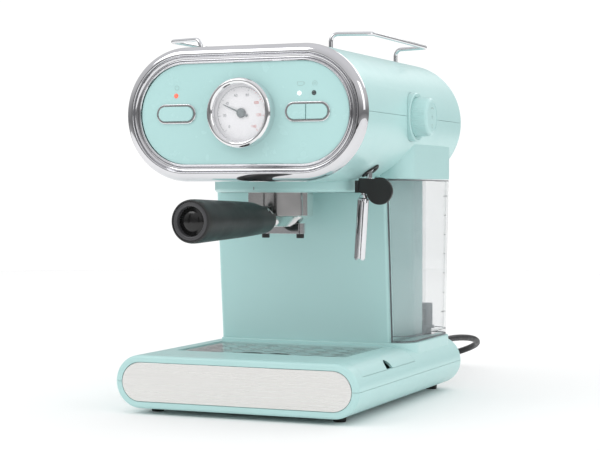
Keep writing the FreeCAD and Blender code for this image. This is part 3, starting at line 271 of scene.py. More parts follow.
def clear(name, tint, face_on, edge_on, rough=(0.02, 0.06)):
    """Thin clear moulding: nearly unseen face on, and milky where it is seen edge on."""
    look = Look(name).set(specular=0.35)
    look.colours(look.noise(12.0, 2.0), tint, tuple(min(1.0, c * 1.03) for c in tint))
    look.rough(look.noise(30.0, 4.0), *rough)
    facing = look.tree.nodes.new("ShaderNodeLayerWeight")
    facing.inputs["Blend"].default_value = 0.35
    opacity = look.ramp(facing.outputs["Facing"], face_on, edge_on, 0.25, 0.95)
    look.tree.links.new(opacity, look.shader.inputs["Alpha"])
    look.relief(look.noise(40.0, 2.0), 0.00004, 0.3)
    return look.material


mint = moulded("mint_shell", (0.425, 0.650, 0.640), (0.440, 0.668, 0.658), rough=(0.28, 0.34),
               grain=0.000002, edge=0.0)
mint_panel = moulded("mint_panel", (0.430, 0.665, 0.655), (0.445, 0.683, 0.673), rough=(0.22, 0.28),
                     grain=0.000002, edge=0.0)
mint_tray = moulded("mint_tray", (0.420, 0.645, 0.635), (0.435, 0.662, 0.652), rough=(0.30, 0.38),
                    grain=0.000003, edge=0.0)
chrome = plated("chrome_trim", (0.80, 0.80, 0.81), (0.86, 0.86, 0.87))
chrome_bezel = plated("chrome_bezel", (0.66, 0.66, 0.68), (0.72, 0.72, 0.74), rough=(0.03, 0.06),
                      edge=0.0)
chrome_wire = plated("chrome_wire", (0.70, 0.71, 0.73), (0.80, 0.81, 0.83), rough=(0.05, 0.12), edge=0.0)
chrome_soft = plated("chrome_soft", (0.78, 0.77, 0.76), (0.84, 0.83, 0.82), rough=(0.09, 0.15))
plate_steel = brushed("brushed_plate", (0.80, 0.79, 0.77), (0.90, 0.89, 0.87), (14.0, 600.0, 1400.0))
shelf_steel = brushed("brushed_shelf", (0.74, 0.74, 0.73), (0.84, 0.84, 0.83), (1400.0, 14.0, 600.0))
grille_steel = brushed("grille_steel", (0.56, 0.57, 0.57), (0.66, 0.67, 0.67), (14.0, 1200.0, 600.0),
                       rough=(0.16, 0.28))
turned_steel = brushed("turned_steel", (0.58, 0.58, 0.58), (0.70, 0.70, 0.69), (60.0, 60.0, 1800.0),
                       rough=(0.2, 0.34))
cast_alu = cast("cast_aluminium", (0.46, 0.47, 0.49), (0.58, 0.59, 0.61))
black_plastic = moulded("black_moulding", (0.007, 0.008, 0.008), (0.012, 0.013, 0.013), rough=(0.38, 0.48),
                        grain=0.00002)
black_gloss = moulded("black_gloss", (0.003, 0.003, 0.003), (0.006, 0.006, 0.006), rough=(0.12, 0.18),
                      edge=0.0)
ring_grey = moulded("ring_grey", (0.040, 0.040, 0.043), (0.052, 0.052, 0.056), rough=(0.34, 0.42), edge=0.0)
grey_plastic = moulded("grey_moulding", (0.16, 0.17, 0.18), (0.21, 0.22, 0.23), rough=(0.38, 0.5),
                       grain=0.00002)
needle_grey = moulded("needle_grey", (0.22, 0.25, 0.26), (0.28, 0.31, 0.32), rough=(0.3, 0.4), edge=0.0001)
foot_rubber = rubbery("black_rubber", (0.012, 0.012, 0.012), (0.022, 0.022, 0.022))
seal_rubber = rubbery("silicone_seal", (0.30, 0.10, 0.06), (0.38, 0.14, 0.09))
hose_rubber = rubbery("silicone_hose", (0.62, 0.63, 0.60), (0.72, 0.73, 0.70), rough=(0.3, 0.45))
cord_rubber = rubbery("cord_black", (0.010, 0.010, 0.011), (0.018, 0.018, 0.020), rough=(0.36, 0.5),
                      grain=0.00001)
tank_clear = clear("clear_tank", (0.36, 0.42, 0.44), 0.04, 0.30)
lens_clear = clear("clear_lens", (0.90, 0.91, 0.93), 0.03, 0.30, rough=(0.0, 0.02))
# Grey-mint print for the panel and knob symbols, and also the painted shade of the knob's indicator recess.
print_grey_and_recess_shade = moulded("print_grey_and_recess_shade", (0.30, 0.46, 0.44), (0.34, 0.50, 0.48), rough=(0.4, 0.5), edge=0.0)
print_dark = moulded("print_dark", (0.22, 0.23, 0.25), (0.28, 0.29, 0.31), rough=(0.45, 0.55), edge=0.0)
print_red = moulded("print_red", (0.62, 0.12, 0.10), (0.70, 0.17, 0.15), rough=(0.45, 0.55), edge=0.0)
# Dark tint for the tank's printed level marks, and also for the painted shade along the tank's edges.
tank_print_and_edge_shade = moulded("tank_print_and_edge_shade", (0.10, 0.11, 0.12), (0.15, 0.16, 0.17), rough=(0.45, 0.55), edge=0.0)


def dial_look():
    """Printed card behind the gauge's lens."""
    look = Look("dial_face").set(specular=0.4)
    look.colours(look.noise(40.0, 2.0), (0.84, 0.84, 0.86), (0.88, 0.88, 0.90))
    look.rough(look.noise(300.0, 3.0), 0.45, 0.6)
    look.relief(look.noise(1800.0, 2.0), 0.000008)
    return look.material


def board_look():
    """Green circuit board with a pattern of tracks."""
    look = Look("circuit_board").set(coat=0.4, coat_roughness=0.2)
    bricks = look.tree.nodes.new("ShaderNodeTexBrick")
    bricks.inputs["Color1"].default_value = (0.012, 0.11, 0.035, 1)
    bricks.inputs["Color2"].default_value = (0.016, 0.14, 0.045, 1)
    bricks.inputs["Mortar"].default_value = (0.03, 0.21, 0.07, 1)
    bricks.inputs["Scale"].default_value = 1.0
    bricks.inputs["Mortar Size"].default_value = 0.03
    turned = look.tree.nodes.new("ShaderNodeMapping")
    turned.inputs["Rotation"].default_value = (math.radians(90), 0, 0)
    turned.inputs["Scale"].default_value = (160, 160, 160)
    look.tree.links.new(look.coords.outputs["Object"], turned.inputs["Vector"])
    look.tree.links.new(turned.outputs["Vector"], bricks.inputs["Vector"])
    look.tree.links.new(bricks.outputs["Color"], look.shader.inputs["Base Color"])
    look.rough(look.noise(400.0, 3.0), 0.35, 0.5)
    return look.material


def lamp_look(name, low, high, glow=0.0, glow_colour=(1, 1, 1)):
    """Glossy lamp lens, which glows if glow is over zero."""
    look = Look(name).set(specular=0.6, glow=glow, glow_colour=glow_colour, coat=0.5, coat_roughness=0.05)
    look.colours(look.noise(500.0, 2.0), low, high)
    look.rough(look.noise(700.0, 2.0), 0.15, 0.25)
    return look.material


dial_white = dial_look()
board_green = board_look()
lamp_red = lamp_look("lamp_red", (0.80, 0.10, 0.06), (0.95, 0.16, 0.10), 0.55, (1.0, 0.16, 0.10))
lamp_white = lamp_look("lamp_white", (0.93, 0.94, 0.94), (0.97, 0.97, 0.97), 0.35)
lamp_off = lamp_look("lamp_off", (0.035, 0.05, 0.052), (0.06, 0.08, 0.082))

node_looks = {
    mint: ["base_pan", "base_top_cover", "column_front", "column_back", "head_lower_shell",
           "head_upper_shell", "knob_collar"],
    mint_panel: ["control_panel", "power_button", "brew_button", "steam_button"],
    mint_tray: ["drip_tray"],
    chrome_wire: ["cup_rail_left", "cup_rail_right", "wand_pipe", "froth_sleeve"],
    chrome: ["power_button_surround", "twin_button_surround", "spout"],
    chrome_soft: ["portafilter_bowl"],
    plate_steel: ["front_plate"],
    shelf_steel: ["cup_plate"],
    grille_steel: ["drip_grille"],
    turned_steel: ["filter_basket", "shower_screen", "valve_spindle", "lever_pin", "tank_valve_spring",
                   "pump_bracket", "pump"],
    cast_alu: ["brew_group", "boiler_lower", "boiler_upper", "steam_valve"],
    black_plastic: ["wand_socket", "wand_grip", "thumb_lever", "spout_tips"],
    foot_rubber: ["rubber_feet", "strain_relief"],
    grey_plastic: ["tank_valve_body", "tank_valve_poppet", "tank_dock"],
    needle_grey: ["gauge_needle"],
    tank_clear: ["water_tank"],
    lens_clear: ["gauge_lens"],
    dial_white: ["gauge_dial"],
    seal_rubber: ["dock_seal", "group_gasket"],
    board_green: ["control_board"],
    hose_rubber: ["water_hoses"],
}
for look, names in node_looks.items():
    for name in names:
        nodes[name].data.materials.clear()
        nodes[name].data.materials.append(look)


# ---- mains lead ----------------------------------------------------------
# From the strain relief round to the floor, in metres, then a coil of two turns and the tail to the plug.
route = [
    (0.0860, 0.1821, 0.0450), (0.0865, 0.2180, 0.0460), (0.0900, 0.2580, 0.0445), (0.0935, 0.2980, 0.0400),
    (0.0880, 0.3340, 0.0310), (0.0640, 0.3580, 0.0200), (0.0300, 0.3620, 0.0100), (-0.0020, 0.3520, 0.0044),
    (-0.0340, 0.3300, 0.0036), (-0.0595, 0.3000, 0.0036), (-0.0755, 0.2723, 0.0036),
]
cord_radius = 0.0035
lying_height = 0.0036
coil_x, coil_y = -0.037, 0.250
coil_start = math.radians(150.0)
coil_radius, coil_step = 0.0438, 0.007
coil_turns, points_per_turn = 2, 16
climb_from, climb_turns, climb_height = 1.78, 0.30, 0.0072
plug_x, plug_y = -0.011, 0.2065
plug_pitch = math.radians(9.0)
for k in range(1, coil_turns * points_per_turn + 2):
    turn = k / points_per_turn
    angle = coil_start + 2 * math.pi * turn
    radius = coil_radius - coil_step * turn
    rise = max(0.0, min(1.0, (turn - climb_from) / climb_turns))
    lift = climb_height * rise * rise * (3 - 2 * rise)
    route.append((coil_x + radius * math.cos(angle), coil_y + radius * math.sin(angle), lying_height + lift))
route += [(-0.0460, 0.2165, 0.0113), (-0.0330, 0.2085, 0.0118), (-0.0210, 0.2065, 0.0123),
          (plug_x + 0.001, plug_y, 0.0136)]

cord_curve = bpy.data.curves.new("mains_lead", "CURVE")
cord_curve.dimensions = "3D"
cord_curve.bevel_depth = 1.0
cord_curve.bevel_resolution = 6
cord_curve.resolution_u = 10
cord_curve.use_fill_caps = True
spline = cord_curve.splines.new("NURBS")
spline.points.add(len(route) - 1)
for point, place in zip(spline.points, route):
    point.co = (*place, 1.0)
    point.radius = cord_radius
spline.order_u = 3
spline.use_endpoint_u = True
mains_lead = link("mains_lead", cord_curve)
finish_piece(mains_lead, "machine", ["mains_cord", "cord_coil"], cord_rubber)


def plug_parts():
    """Two-pin plug, in millimetres: ribbed tail, waisted grip, flat face and sleeved pins, on the floor."""
    floor_gap = 0.06
    pin_offset = 9.5
    face, bare_from = 61.5, 71.0
    pin_r, sleeve_r = 2.38, 2.2
    shell = softened([(0, 0), (0, 0), (4.3, 0), (4.6, 0.4), (4.8, 4.0), (5.6, 10.0), (6.6, 16.0), (9.4, 21.0),
                      (14.6, 25.5), (17.2, 29.0), (18.0, 34.0), (17.2, 42.0), (17.2, 49.0), (18.2, 56.0),
                      (18.4, 59.0), (17.8, 61.4), (16.4, 62.0), (16.4, 62.0), (0, 62.0), (0, 62.0)], 5)
    grooved = []
    for r, h in shell:
        if 3.0 < h < 19.0 and r > 4:
            r -= 0.35 * max(0.0, math.sin(2 * math.pi * h / 3.2)) ** 2
        if 37.0 < h < 54.0 and r > 12:
            r -= 0.45 * max(0.0, math.sin(2 * math.pi * h / 3.4)) ** 2
        grooved.append((r, h))
    tilt = (Matrix.Translation((plug_x / MM, plug_y / MM, 0)) @ Matrix.Rotation(-plug_pitch, 4, "Y")
            @ axis_matrix((0, 0, 0), (1, 0, 0)))
    body, body_faces = lathe(grooved, 72)
    body = placed(body, tilt)
    lift = floor_gap - min(v[2] for v in body)
    body = [(x, y, z + lift) for x, y, z in body]
    pins, pin_faces, sleeves, sleeve_faces = [], [], [], []
    for side in (-pin_offset, pin_offset):
        shift = Matrix.Translation((0, 0, lift)) @ tilt @ Matrix.Translation((0, side, 0))
        pin, quads = lathe(softened([(0, bare_from), (0, bare_from), (pin_r, bare_from), (pin_r, bare_from),
                                     (pin_r, 79.0), (2.0, 80.4), (1.0, 81.0), (0, 81.0)], 4), 32)
        pin_faces += [[i + len(pins) for i in q] for q in quads]
        pins += placed(pin, shift)
        sleeve, quads = lathe([(0, face), (sleeve_r, face), (sleeve_r, bare_from), (0, bare_from)], 32)
        sleeve_faces += [[i + len(sleeves) for i in q] for q in quads]
        sleeves += placed(sleeve, shift)
    return (body, body_faces), (pins, pin_faces), (sleeves, sleeve_faces)


shell_part, pin_part, sleeve_part = plug_parts()
plug_body = mesh_piece("plug_body", *shell_part, sharp=50)
finish_piece(plug_body, "machine", ["mains_plug"], cord_rubber)
plug_pins = mesh_piece("plug_pins", *pin_part)
finish_piece(plug_pins, "machine", (), chrome_wire)
plug_sleeves = mesh_piece("plug_pin_sleeves", *sleeve_part)
finish_piece(plug_sleeves, "machine", (), black_plastic)


# ---- head front: bezel, gauge, printing ----------------------------------
# Sizes and places are in millimetres from here to the studio.
head_z = 281.0
head_straight = 58.8
face_y = -132.9


def stadium_ring(profile, straight, arc_steps=64):
    """Closed ring of (radius, y) points carried round a stadium."""
    places = []
    for k in range(arc_steps + 1):
        a = math.pi / 2 - math.pi * k / arc_steps
        places.append((straight, a))
    for k in range(arc_steps + 1):
        a = -math.pi / 2 - math.pi * k / arc_steps
        places.append((-straight, a))
    n, vertices, faces = len(profile), [], []
    for x, a in places:
        vertices += [(x + r * math.cos(a), y, head_z + r * math.sin(a)) for r, y in profile]
    for k in range(len(places)):
        here, there = k * n, (k + 1) % len(places) * n
        for i in range(n):
            j = (i + 1) % n
            faces.append([here + i, here + j, there + j, there + i])
    return vertices, faces


bezel_out = 63.0
bezel_in = 46.9
bezel_profile = softened([
    (bezel_out - 0.8, -126.1), (bezel_out - 0.8, -126.1), (bezel_out, -127.0), (bezel_out, -128.4),
    (bezel_out - 0.5, -130.9), (bezel_out - 1.9, -133.2), (bezel_out - 4.0, -135.0),
    (bezel_out - 6.4, -135.9), (bezel_out - 7.9, -136.05), (bezel_out - 8.5, -135.7),
    (bezel_out - 8.9, -134.8), (bezel_out - 9.6, -133.4), (bezel_out - 10.8, -132.5),
    (bezel_out - 12.2, -132.3), (bezel_out - 13.3, -132.9), (bezel_out - 13.9, -134.0),
    (bezel_out - 14.6, -134.9), (bezel_out - 15.4, -135.0), (bezel_in, -134.4), (bezel_in, -134.4),
    (bezel_in, -129.7), (bezel_in, -129.7), (bezel_in + 6, -129.5), (bezel_in + 6, -129.5),
    (bezel_in + 6, -126.1), (bezel_in + 6, -126.1)], 5)
bezel = mesh_piece("bezel", *stadium_ring(bezel_profile, head_straight), sharp=60)
finish_piece(bezel, "machine", ["bezel_ring"], chrome_bezel)

gauge_r = 32.4
gauge_front = -145.2
gauge_profile = softened([
    (gauge_r - 0.3, face_y - 0.05), (gauge_r - 0.3, face_y - 0.05), (gauge_r, face_y - 0.8),
    (gauge_r, gauge_front + 3.4), (gauge_r - 0.5, gauge_front + 1.5), (gauge_r - 1.5, gauge_front + 0.35),
    (gauge_r - 2.6, gauge_front), (gauge_r - 4.0, gauge_front + 0.15), (gauge_r - 5.2, gauge_front + 0.9),
    (gauge_r - 6.1, gauge_front + 2.3), (gauge_r - 6.4, gauge_front + 4.1),
    (gauge_r - 6.4, gauge_front + 4.1), (gauge_r - 5.35, gauge_front + 4.2),
    (gauge_r - 5.35, gauge_front + 4.2), (gauge_r - 5.35, face_y + 1.4), (gauge_r - 5.35, face_y + 1.4),
    (gauge_r - 3.3, face_y + 1.4), (gauge_r - 3.3, face_y + 1.4), (gauge_r - 3.3, face_y - 0.05),
    (gauge_r - 3.3, face_y - 0.05)], 5)
turned_to_front = axis_matrix((0, 0, head_z), (0, 1, 0))
ring, ring_faces = lathe(gauge_profile, 128, closed=True)
gauge_bezel = mesh_piece("gauge_bezel", placed(ring, turned_to_front), ring_faces, sharp=60)
finish_piece(gauge_bezel, "machine", ["gauge_ring"], chrome)

dial_y = -135.9


def flat_strip(points, width, y, closed=False, lift=0.06):
    """Printed line of constant width in the plane y, along (x, z) points."""
    vertices, faces = [], []
    count = len(points)
    for i, (x, z) in enumerate(points):
        before = points[(i - 1) % count] if closed or i > 0 else points[i]
        after = points[(i + 1) % count] if closed or i + 1 < count else points[i]
        d = Vector((after[0] - before[0], after[1] - before[1])).normalized() * width / 2
        vertices += [(x - d.y, y, z + d.x), (x + d.y, y, z - d.x),
                     (x + d.y, y - lift, z - d.x), (x - d.y, y - lift, z + d.x)]
    for i in range(count if closed else count - 1):
        a, b = 4 * i, 4 * ((i + 1) % count)
        for k in range(4):
            faces.append([a + k, a + (k + 1) % 4, b + (k + 1) % 4, b + k])
    if not closed:
        faces += [[3, 2, 1, 0], [4 * count - 4, 4 * count - 3, 4 * count - 2, 4 * count - 1]]
    return vertices, faces


def arc_points(x, z, r, start, end, steps):
    """Points on an arc from start to end, in degrees."""
    return [(x + r * math.cos(math.radians(start + (end - start) * k / steps)),
             z + r * math.sin(math.radians(start + (end - start) * k / steps))) for k in range(steps + 1)]


def joined(parts):
    """One list of vertices and one of faces from several."""
    vertices, faces = [], []
    for v, f in parts:
        faces += [[i + len(vertices) for i in q] for q in f]
        vertices += v
    return vertices, faces


def printed(name, lines, width, y, material):
    """One flat print of several lines on the machine; each line comes with whether it is closed."""
    piece = mesh_piece(name, *joined([flat_strip(line, width, y, closed) for line, closed in lines]))
    finish_piece(piece, "machine", (), material)


# dial graduations: seven steps between the numbers, the upper ones in red
dial_steps, low_steps, ticks_per_step = 7, 4, 6
dial_start, dial_end = 225.0, -45.0
tick_outer, long_inner, middle_inner, short_inner = 24.2, 21.3, 22.6, 23.2
grey_ticks, red_ticks = [], []
for k in range(ticks_per_step * dial_steps + 1):
    angle = math.radians(dial_start + (dial_end - dial_start) * k / (ticks_per_step * dial_steps))
    if k % ticks_per_step == 0:
        inner = long_inner
    elif k % (ticks_per_step // 2) == 0:
        inner = middle_inner
    else:
        inner = short_inner
    line = [(r * math.cos(angle), head_z + r * math.sin(angle)) for r in (inner, tick_outer)]
    (grey_ticks if k <= ticks_per_step * low_steps else red_ticks).append((line, False))
printed("dial_ticks_low", grey_ticks, 0.32, dial_y, print_dark)
printed("dial_ticks_high", red_ticks, 0.32, dial_y, print_red)
scale_arc = arc_points(0, head_z, tick_outer + 0.1, dial_start, dial_end, 90)
printed("dial_scale", [(scale_arc, False)], 0.25, dial_y, print_dark)

# strokes of each figure, in half heights
digit_segments = {
    "0": [[(0.3, 0.0), (0.7, 0.0), (1.0, 0.5), (1.0, 1.5), (0.7, 2.0), (0.3, 2.0), (0.0, 1.5), (0.0, 0.5),
           (0.3, 0.0)]],
    "1": [[(0.2, 1.6), (0.6, 2.0), (0.6, 0.0)]],
    "2": [[(0.0, 1.6), (0.3, 2.0), (0.8, 2.0), (1.0, 1.6), (0.9, 1.1), (0.0, 0.0), (1.0, 0.0)]],
    "4": [[(0.75, 0.0), (0.75, 2.0), (0.0, 0.6), (1.0, 0.6)]],
    "6": [[(0.9, 1.9), (0.4, 1.9), (0.05, 1.2), (0.0, 0.5), (0.3, 0.0), (0.8, 0.0), (1.0, 0.5), (0.8, 1.1),
           (0.1, 1.0)]],
    "8": [[(0.5, 1.05), (0.1, 1.4), (0.3, 2.0), (0.7, 2.0), (0.9, 1.4), (0.5, 1.05), (0.0, 0.6), (0.2, 0.0),
           (0.8, 0.0), (1.0, 0.6), (0.5, 1.05)]],
}


def number_lines(text, x, z, size):
    """Strokes of a number centred on (x, z), whose figures are twice size high."""
    width = 1.5 * size
    start = x - width * len(text) / 2 + 0.25 * size
    return [([(start + width * k + size * px, z - size + size * pz) for px, pz in run], False)
            for k, letter in enumerate(text) for run in digit_segments[letter]]


number_radius, number_size = 17.4, 1.15
low_numbers, high_numbers = [], []
for k, value in enumerate(("0", "20", "40", "60", "80", "100", "120", "140")):
    angle = math.radians(dial_start + (dial_end - dial_start) * k / dial_steps)
    lines = number_lines(value, number_radius * math.cos(angle), head_z + number_radius * math.sin(angle),
                         number_size)
    if k <= low_steps:
        low_numbers += lines
    else:
        high_numbers += lines
printed("dial_numbers_low", low_numbers, 0.36, dial_y, print_dark)
printed("dial_numbers_high", high_numbers, 0.36, dial_y, print_red)

# symbols over the lamps: power, cup and steam
power_icon = [(arc_points(-68.0, 305.9, 2.1, 130, 410, 20), False), ([(-68.0, 306.2), (-68.0, 308.6)], False)]
cup_outline = [(54.6, 308.4), (55.0, 305.6), (55.6, 305.0), (59.6, 305.0), (60.2, 305.6), (60.6, 308.4),
               (54.6, 308.4)]
cup_icon = [(cup_outline, False), (arc_points(60.7, 307.0, 1.1, 80, -80, 10), False)]
steam_icon = [(arc_points(71.7, 306.7, 2.3, -60, 240, 20), False),
              (arc_points(71.7, 306.7, 0.9, 0, 360, 12), True)]
printed("panel_symbols", power_icon + cup_icon + steam_icon, 0.45, face_y, print_grey_and_recess_shade)


# ---- lamps: one per hole, each with its own lens colour -------------------
lamp_profile = softened([(0, -0.95), (0.9, -0.86), (1.7, -0.5), (2.15, 0.1), (2.2, 0.6), (2.2, 5.0),
                         (2.2, 5.0), (0, 5.0), (0, 5.0)], 5)
for name, x, z, look in (("lamp_power", -68.9, 298.4, lamp_red), ("lamp_brew", 56.4, 298.2, lamp_white),
                         ("lamp_steam", 70.9, 298.2, lamp_off)):
    dome, dome_faces = lathe(lamp_profile, 40)
    piece = mesh_piece(name, placed(dome, axis_matrix((x, face_y, z), (0, 1, 0))), dome_faces, sharp=50)
    finish_piece(piece, "machine", ["indicator_lights"], look)


# ---- steam knob -----------------------------------------------------------
knob_y, knob_r, knob_back = 2.8, 19.0, 121.8
knob_face = 16.95
rib_count, rib_depth = 48, 0.28
rib_from, rib_to = 1.2, 14.6
knob_profile = softened([
    (0, 0), (0, 0), (knob_r - 0.6, 0), (knob_r - 0.6, 0), (knob_r - 0.05, 0.7), (knob_r, 2.0),
    (knob_r - 0.15, 10.0), (knob_r - 0.45, 13.4), (knob_r - 0.9, 15.2), (knob_r - 1.9, 16.5),
    (knob_r - 3.4, 17.2), (knob_r - 5.0, 17.4), (knob_r - 5.0, 17.4), (knob_r - 5.4, 17.05),
    (knob_r - 6.0, knob_face), (0, knob_face), (0, knob_face)], 5)
knob_shape, knob_faces = lathe(knob_profile, 192)
ribbed = []
for x, y, h in knob_shape:
    r = math.hypot(x, y)
    if r > knob_r - 1.2 and rib_from < h < rib_to:
        angle = math.atan2(y, x)
        fade = min(1.0, (h - rib_from) / 1.0, (rib_to - h) / 1.6)
        shrink = 1 - rib_depth * fade * (0.5 + 0.5 * math.cos(rib_count * angle)) / r
        x, y = x * shrink, y * shrink
    ribbed.append((x, y, h))
knob_frame = axis_matrix((knob_back, knob_y, head_z), (1, 0, 0))
knob = mesh_piece("knob", placed(ribbed, knob_frame), knob_faces, sharp=50)
finish_piece(knob, "knob", ["steam_knob"], mint)
face_x = knob_back + knob_face


def side_strip(points, width, x, closed=False):
    """Printed line in the plane x, along (y, z) points."""
    vertices, faces = flat_strip(points, width, 0.0, closed)
    return [(x - v[1], v[0], v[2]) for v in vertices], faces


# The wide arc at the top of the knob face is painted shade standing in for the indicator recess; the cross
# and the small ring are print.
knob_print_and_recess_shade = mesh_piece("knob_symbol_and_recess_shade", *joined([
    side_strip(arc_points(knob_y, head_z, 8.6, 62, 118, 14), 1.3, face_x),
    side_strip([(knob_y, head_z + 2.2), (knob_y, head_z - 2.2)], 0.6, face_x),
    side_strip([(knob_y - 2.2, head_z), (knob_y + 2.2, head_z)], 0.6, face_x),
    side_strip(arc_points(knob_y, head_z - 9.2, 1.9, 0, 360, 20), 0.5, face_x, True),
]))
finish_piece(knob_print_and_recess_shade, "knob", (), print_grey_and_recess_shade)


# ---- filter holder handle --------------------------------------------------
handle_turn = math.radians(3.0)
handle_way = Vector((-math.sin(handle_turn), -math.cos(handle_turn), 0))
handle_side = Vector((-handle_way.y, handle_way.x, 0))
handle_neck, handle_reach = 33.0, 177.6
handle_z, handle_drop = 183.0, 0.5
group_y = -45.8
pin_distance, pin_lift = 50.0, 8.0
slot_floor = 4.6


def along_handle(distance, lift=0.0):
    """Point on the handle's axis at a distance from the brew axis, or lifted above it."""
    t = (distance - handle_neck) / (handle_reach - handle_neck)
    return Vector((handle_way.x * distance, group_y + handle_way.y * distance,
                   handle_z - handle_drop * t + lift))


neck = along_handle(handle_neck + 0.3)
end = along_handle(handle_reach)
handle_axis = (end - neck).normalized()
handle_length = (end - neck).length
cap_r, cap_deep = 17.2, 11.2
stem_bore = 4.12
cap_seat = cap_r + 0.1
handle_profile = softened([
    (stem_bore, 0), (stem_bore, 0), (10.4, 0), (11.6, 0.3), (12.7, 1.3), (13.7, 3.4), (14.4, 8.0),
    (15.4, 24.0), (16.2, 38.0), (17.3, 66.0), (18.2, 95.0), (18.9, 116.0), (19.4, 130.0),
    (19.55, handle_length - 6.0), (19.3, handle_length - 2.4), (18.9, handle_length - 0.7),
    (18.2, handle_length - 0.1), (cap_seat, handle_length), (cap_seat, handle_length),
    (cap_seat, handle_length - cap_deep), (cap_seat, handle_length - cap_deep),
    (stem_bore, handle_length - cap_deep), (stem_bore, handle_length - cap_deep)], 5)
handle_shape, handle_faces = lathe(handle_profile, 96, closed=True)
handle_frame = axis_matrix(neck, handle_axis)
handle_body = mesh_piece("handle_body", placed(handle_shape, handle_frame), handle_faces, sharp=50)


def handle_prism(name, outline, half_width):
    """Prism across the handle from (distance, lift) points, used only to cut with."""
    count = len(outline)
    rings = [tuple(along_handle(d, lift) + handle_side * w)
             for w in (-half_width, half_width) for d, lift in outline]
    walls = [[i, (i + 1) % count, count + (i + 1) % count, count + i] for i in range(count)]
    ends = [list(range(count - 1, -1, -1)), list(range(count, 2 * count))]
    return mesh_piece(name, rings, walls + ends)


cutters = [
    handle_prism("cut_shoulder", [(20, 11.8), (57, 11.8), (69, 16.6), (69, 40), (20, 40)], 30.0),
    handle_prism("cut_nose", [(20, slot_floor), (47.5, slot_floor), (47.5, 41), (20, 41)], 31.0),
    handle_prism("cut_slot", [(43, slot_floor), (64, slot_floor), (64, 42), (43, 42)], 6.0),
]
bore, bore_faces = lathe([(0, -15.0), (1.85, -15.0), (1.85, 15.0), (0, 15.0)], 32)
bore_frame = axis_matrix(along_handle(pin_distance, pin_lift), handle_side)
cutters.append(mesh_piece("cut_pin", placed(bore, bore_frame), bore_faces))
for cutter in cutters:
    cut = handle_body.modifiers.new("cut", "BOOLEAN")
    cut.operation = "DIFFERENCE"
    cut.solver = "EXACT"
    cut.object = cutter
    graph = bpy.context.evaluated_depsgraph_get()
    shaped = bpy.data.meshes.new_from_object(handle_body.evaluated_get(graph))
    handle_body.modifiers.clear()
    handle_body.data = shaped
    bpy.data.objects.remove(cutter)
handle_body.data.set_sharp_from_angle(angle=math.radians(40))
finish_piece(handle_body, "filter_holder", ["portafilter_handle"], black_plastic)

cap_frame = axis_matrix(along_handle(handle_reach) - handle_axis * 11.0, handle_axis)
cap_parts = (
    ("cap_ring", [(0, 0.3), (0, 0.3), (cap_r, 0.3), (cap_r, 0.3), (cap_r, 9.6), (cap_r - 0.1, 10.3),
                  (cap_r - 0.7, 10.8), (cap_r - 1.8, 10.95), (cap_r - 3.0, 10.8), (cap_r - 3.7, 10.3),
                  (cap_r - 4.0, 9.0), (cap_r - 4.2, 6.0), (cap_r - 4.2, 6.0), (0, 6.0), (0, 6.0)], ring_grey),
    ("cap_button", [(0, 5.9), (0, 5.9), (12.6, 5.9), (12.6, 6.1), (11.2, 6.5), (9.8, 7.2), (8.6, 8.0),
                    (6.6, 8.7), (3.6, 9.2), (0, 9.4)], black_gloss),
)
for name, outline, look in cap_parts:
    shape, faces = lathe(softened(outline, 5), 96)
    piece = mesh_piece(name, placed(shape, cap_frame), faces, sharp=50)
    finish_piece(piece, "filter_holder", ["handle_end_cap"], look)


# ---- mark on the underside block ---------------------------------------------
tongue_mark = mesh_piece("tongue_mark", *flat_strip([(-10.6, 210.3), (-10.6, 213.1)], 0.8, -85.35, lift=0.25))
finish_piece(tongue_mark, "machine", (), print_dark)


# ---- level marks of the tank, and painted shade along its edges ------------
tank_foot, tank_head = 59.3, 220.5
tank_half_foot, tank_half_head = 112.7, 115.6
tank_front_foot, tank_front_head = 15.0, 0.3
tank_back_y, tank_corner = 145.9, 20.0
tank_left_x = 92.8


def tank_mark(z, length, y0=112.0):
    """Printed level line on the tank's right side, which leans out as it rises."""
    t = (z - tank_foot) / (tank_head - tank_foot)
    side_x = tank_half_foot + t * (tank_half_head - tank_half_foot) + 0.02
    return side_strip([(y0, z), (y0 + length, z)], 0.7, side_x)


low_mark, full_mark, mark_step = 84.0, 204.0, 20.0
marks = [tank_mark(full_mark, 13.0), tank_mark(low_mark, 13.0)]
for k in range(1, 6):
    marks.append(tank_mark(low_mark + mark_step * k, 5.0, 116.0))


def painted_tank_edge_shade(z0, z1):
    """Painted shade: a thin dark band round the tank's outside, where the edge of the clear plastic looks
    dark.
    """
    lower, upper = [], []
    for z, row in ((z0, lower), (z1, upper)):
        t = (z - tank_foot) / (tank_head - tank_foot)
        right = tank_half_foot + (tank_half_head - tank_half_foot) * t
        front = tank_front_foot - (tank_front_foot - tank_front_head) * t
        row.append((tank_left_x, front, z))
        for start, corner_y in ((-90.0, front + tank_corner), (0.0, tank_back_y - tank_corner)):
            for k in range(13):
                a = math.radians(start + 7.5 * k)
                row.append((right - tank_corner + tank_corner * math.cos(a),
                            corner_y + tank_corner * math.sin(a), z))
    count = len(lower)
    inner = [(x - 0.03, y, z) for x, y, z in lower + upper]
    outer = [(x + 0.05, y - (0.05 if y < 60 else 0.0), z) for x, y, z in lower + upper]
    faces = []
    for k in range(count - 1):
        faces.append([2 * count + k, 2 * count + k + 1, 3 * count + k + 1, 3 * count + k])
        faces.append([k, count + k, count + k + 1, k + 1])
        faces.append([count + k, 3 * count + k, 3 * count + k + 1, count + k + 1])
        faces.append([k, k + 1, 2 * count + k + 1, 2 * count + k])
    faces += [[0, 2 * count, 3 * count, count], [count - 1, 2 * count - 1, 4 * count - 1, 3 * count - 1]]
    return inner + outer, faces
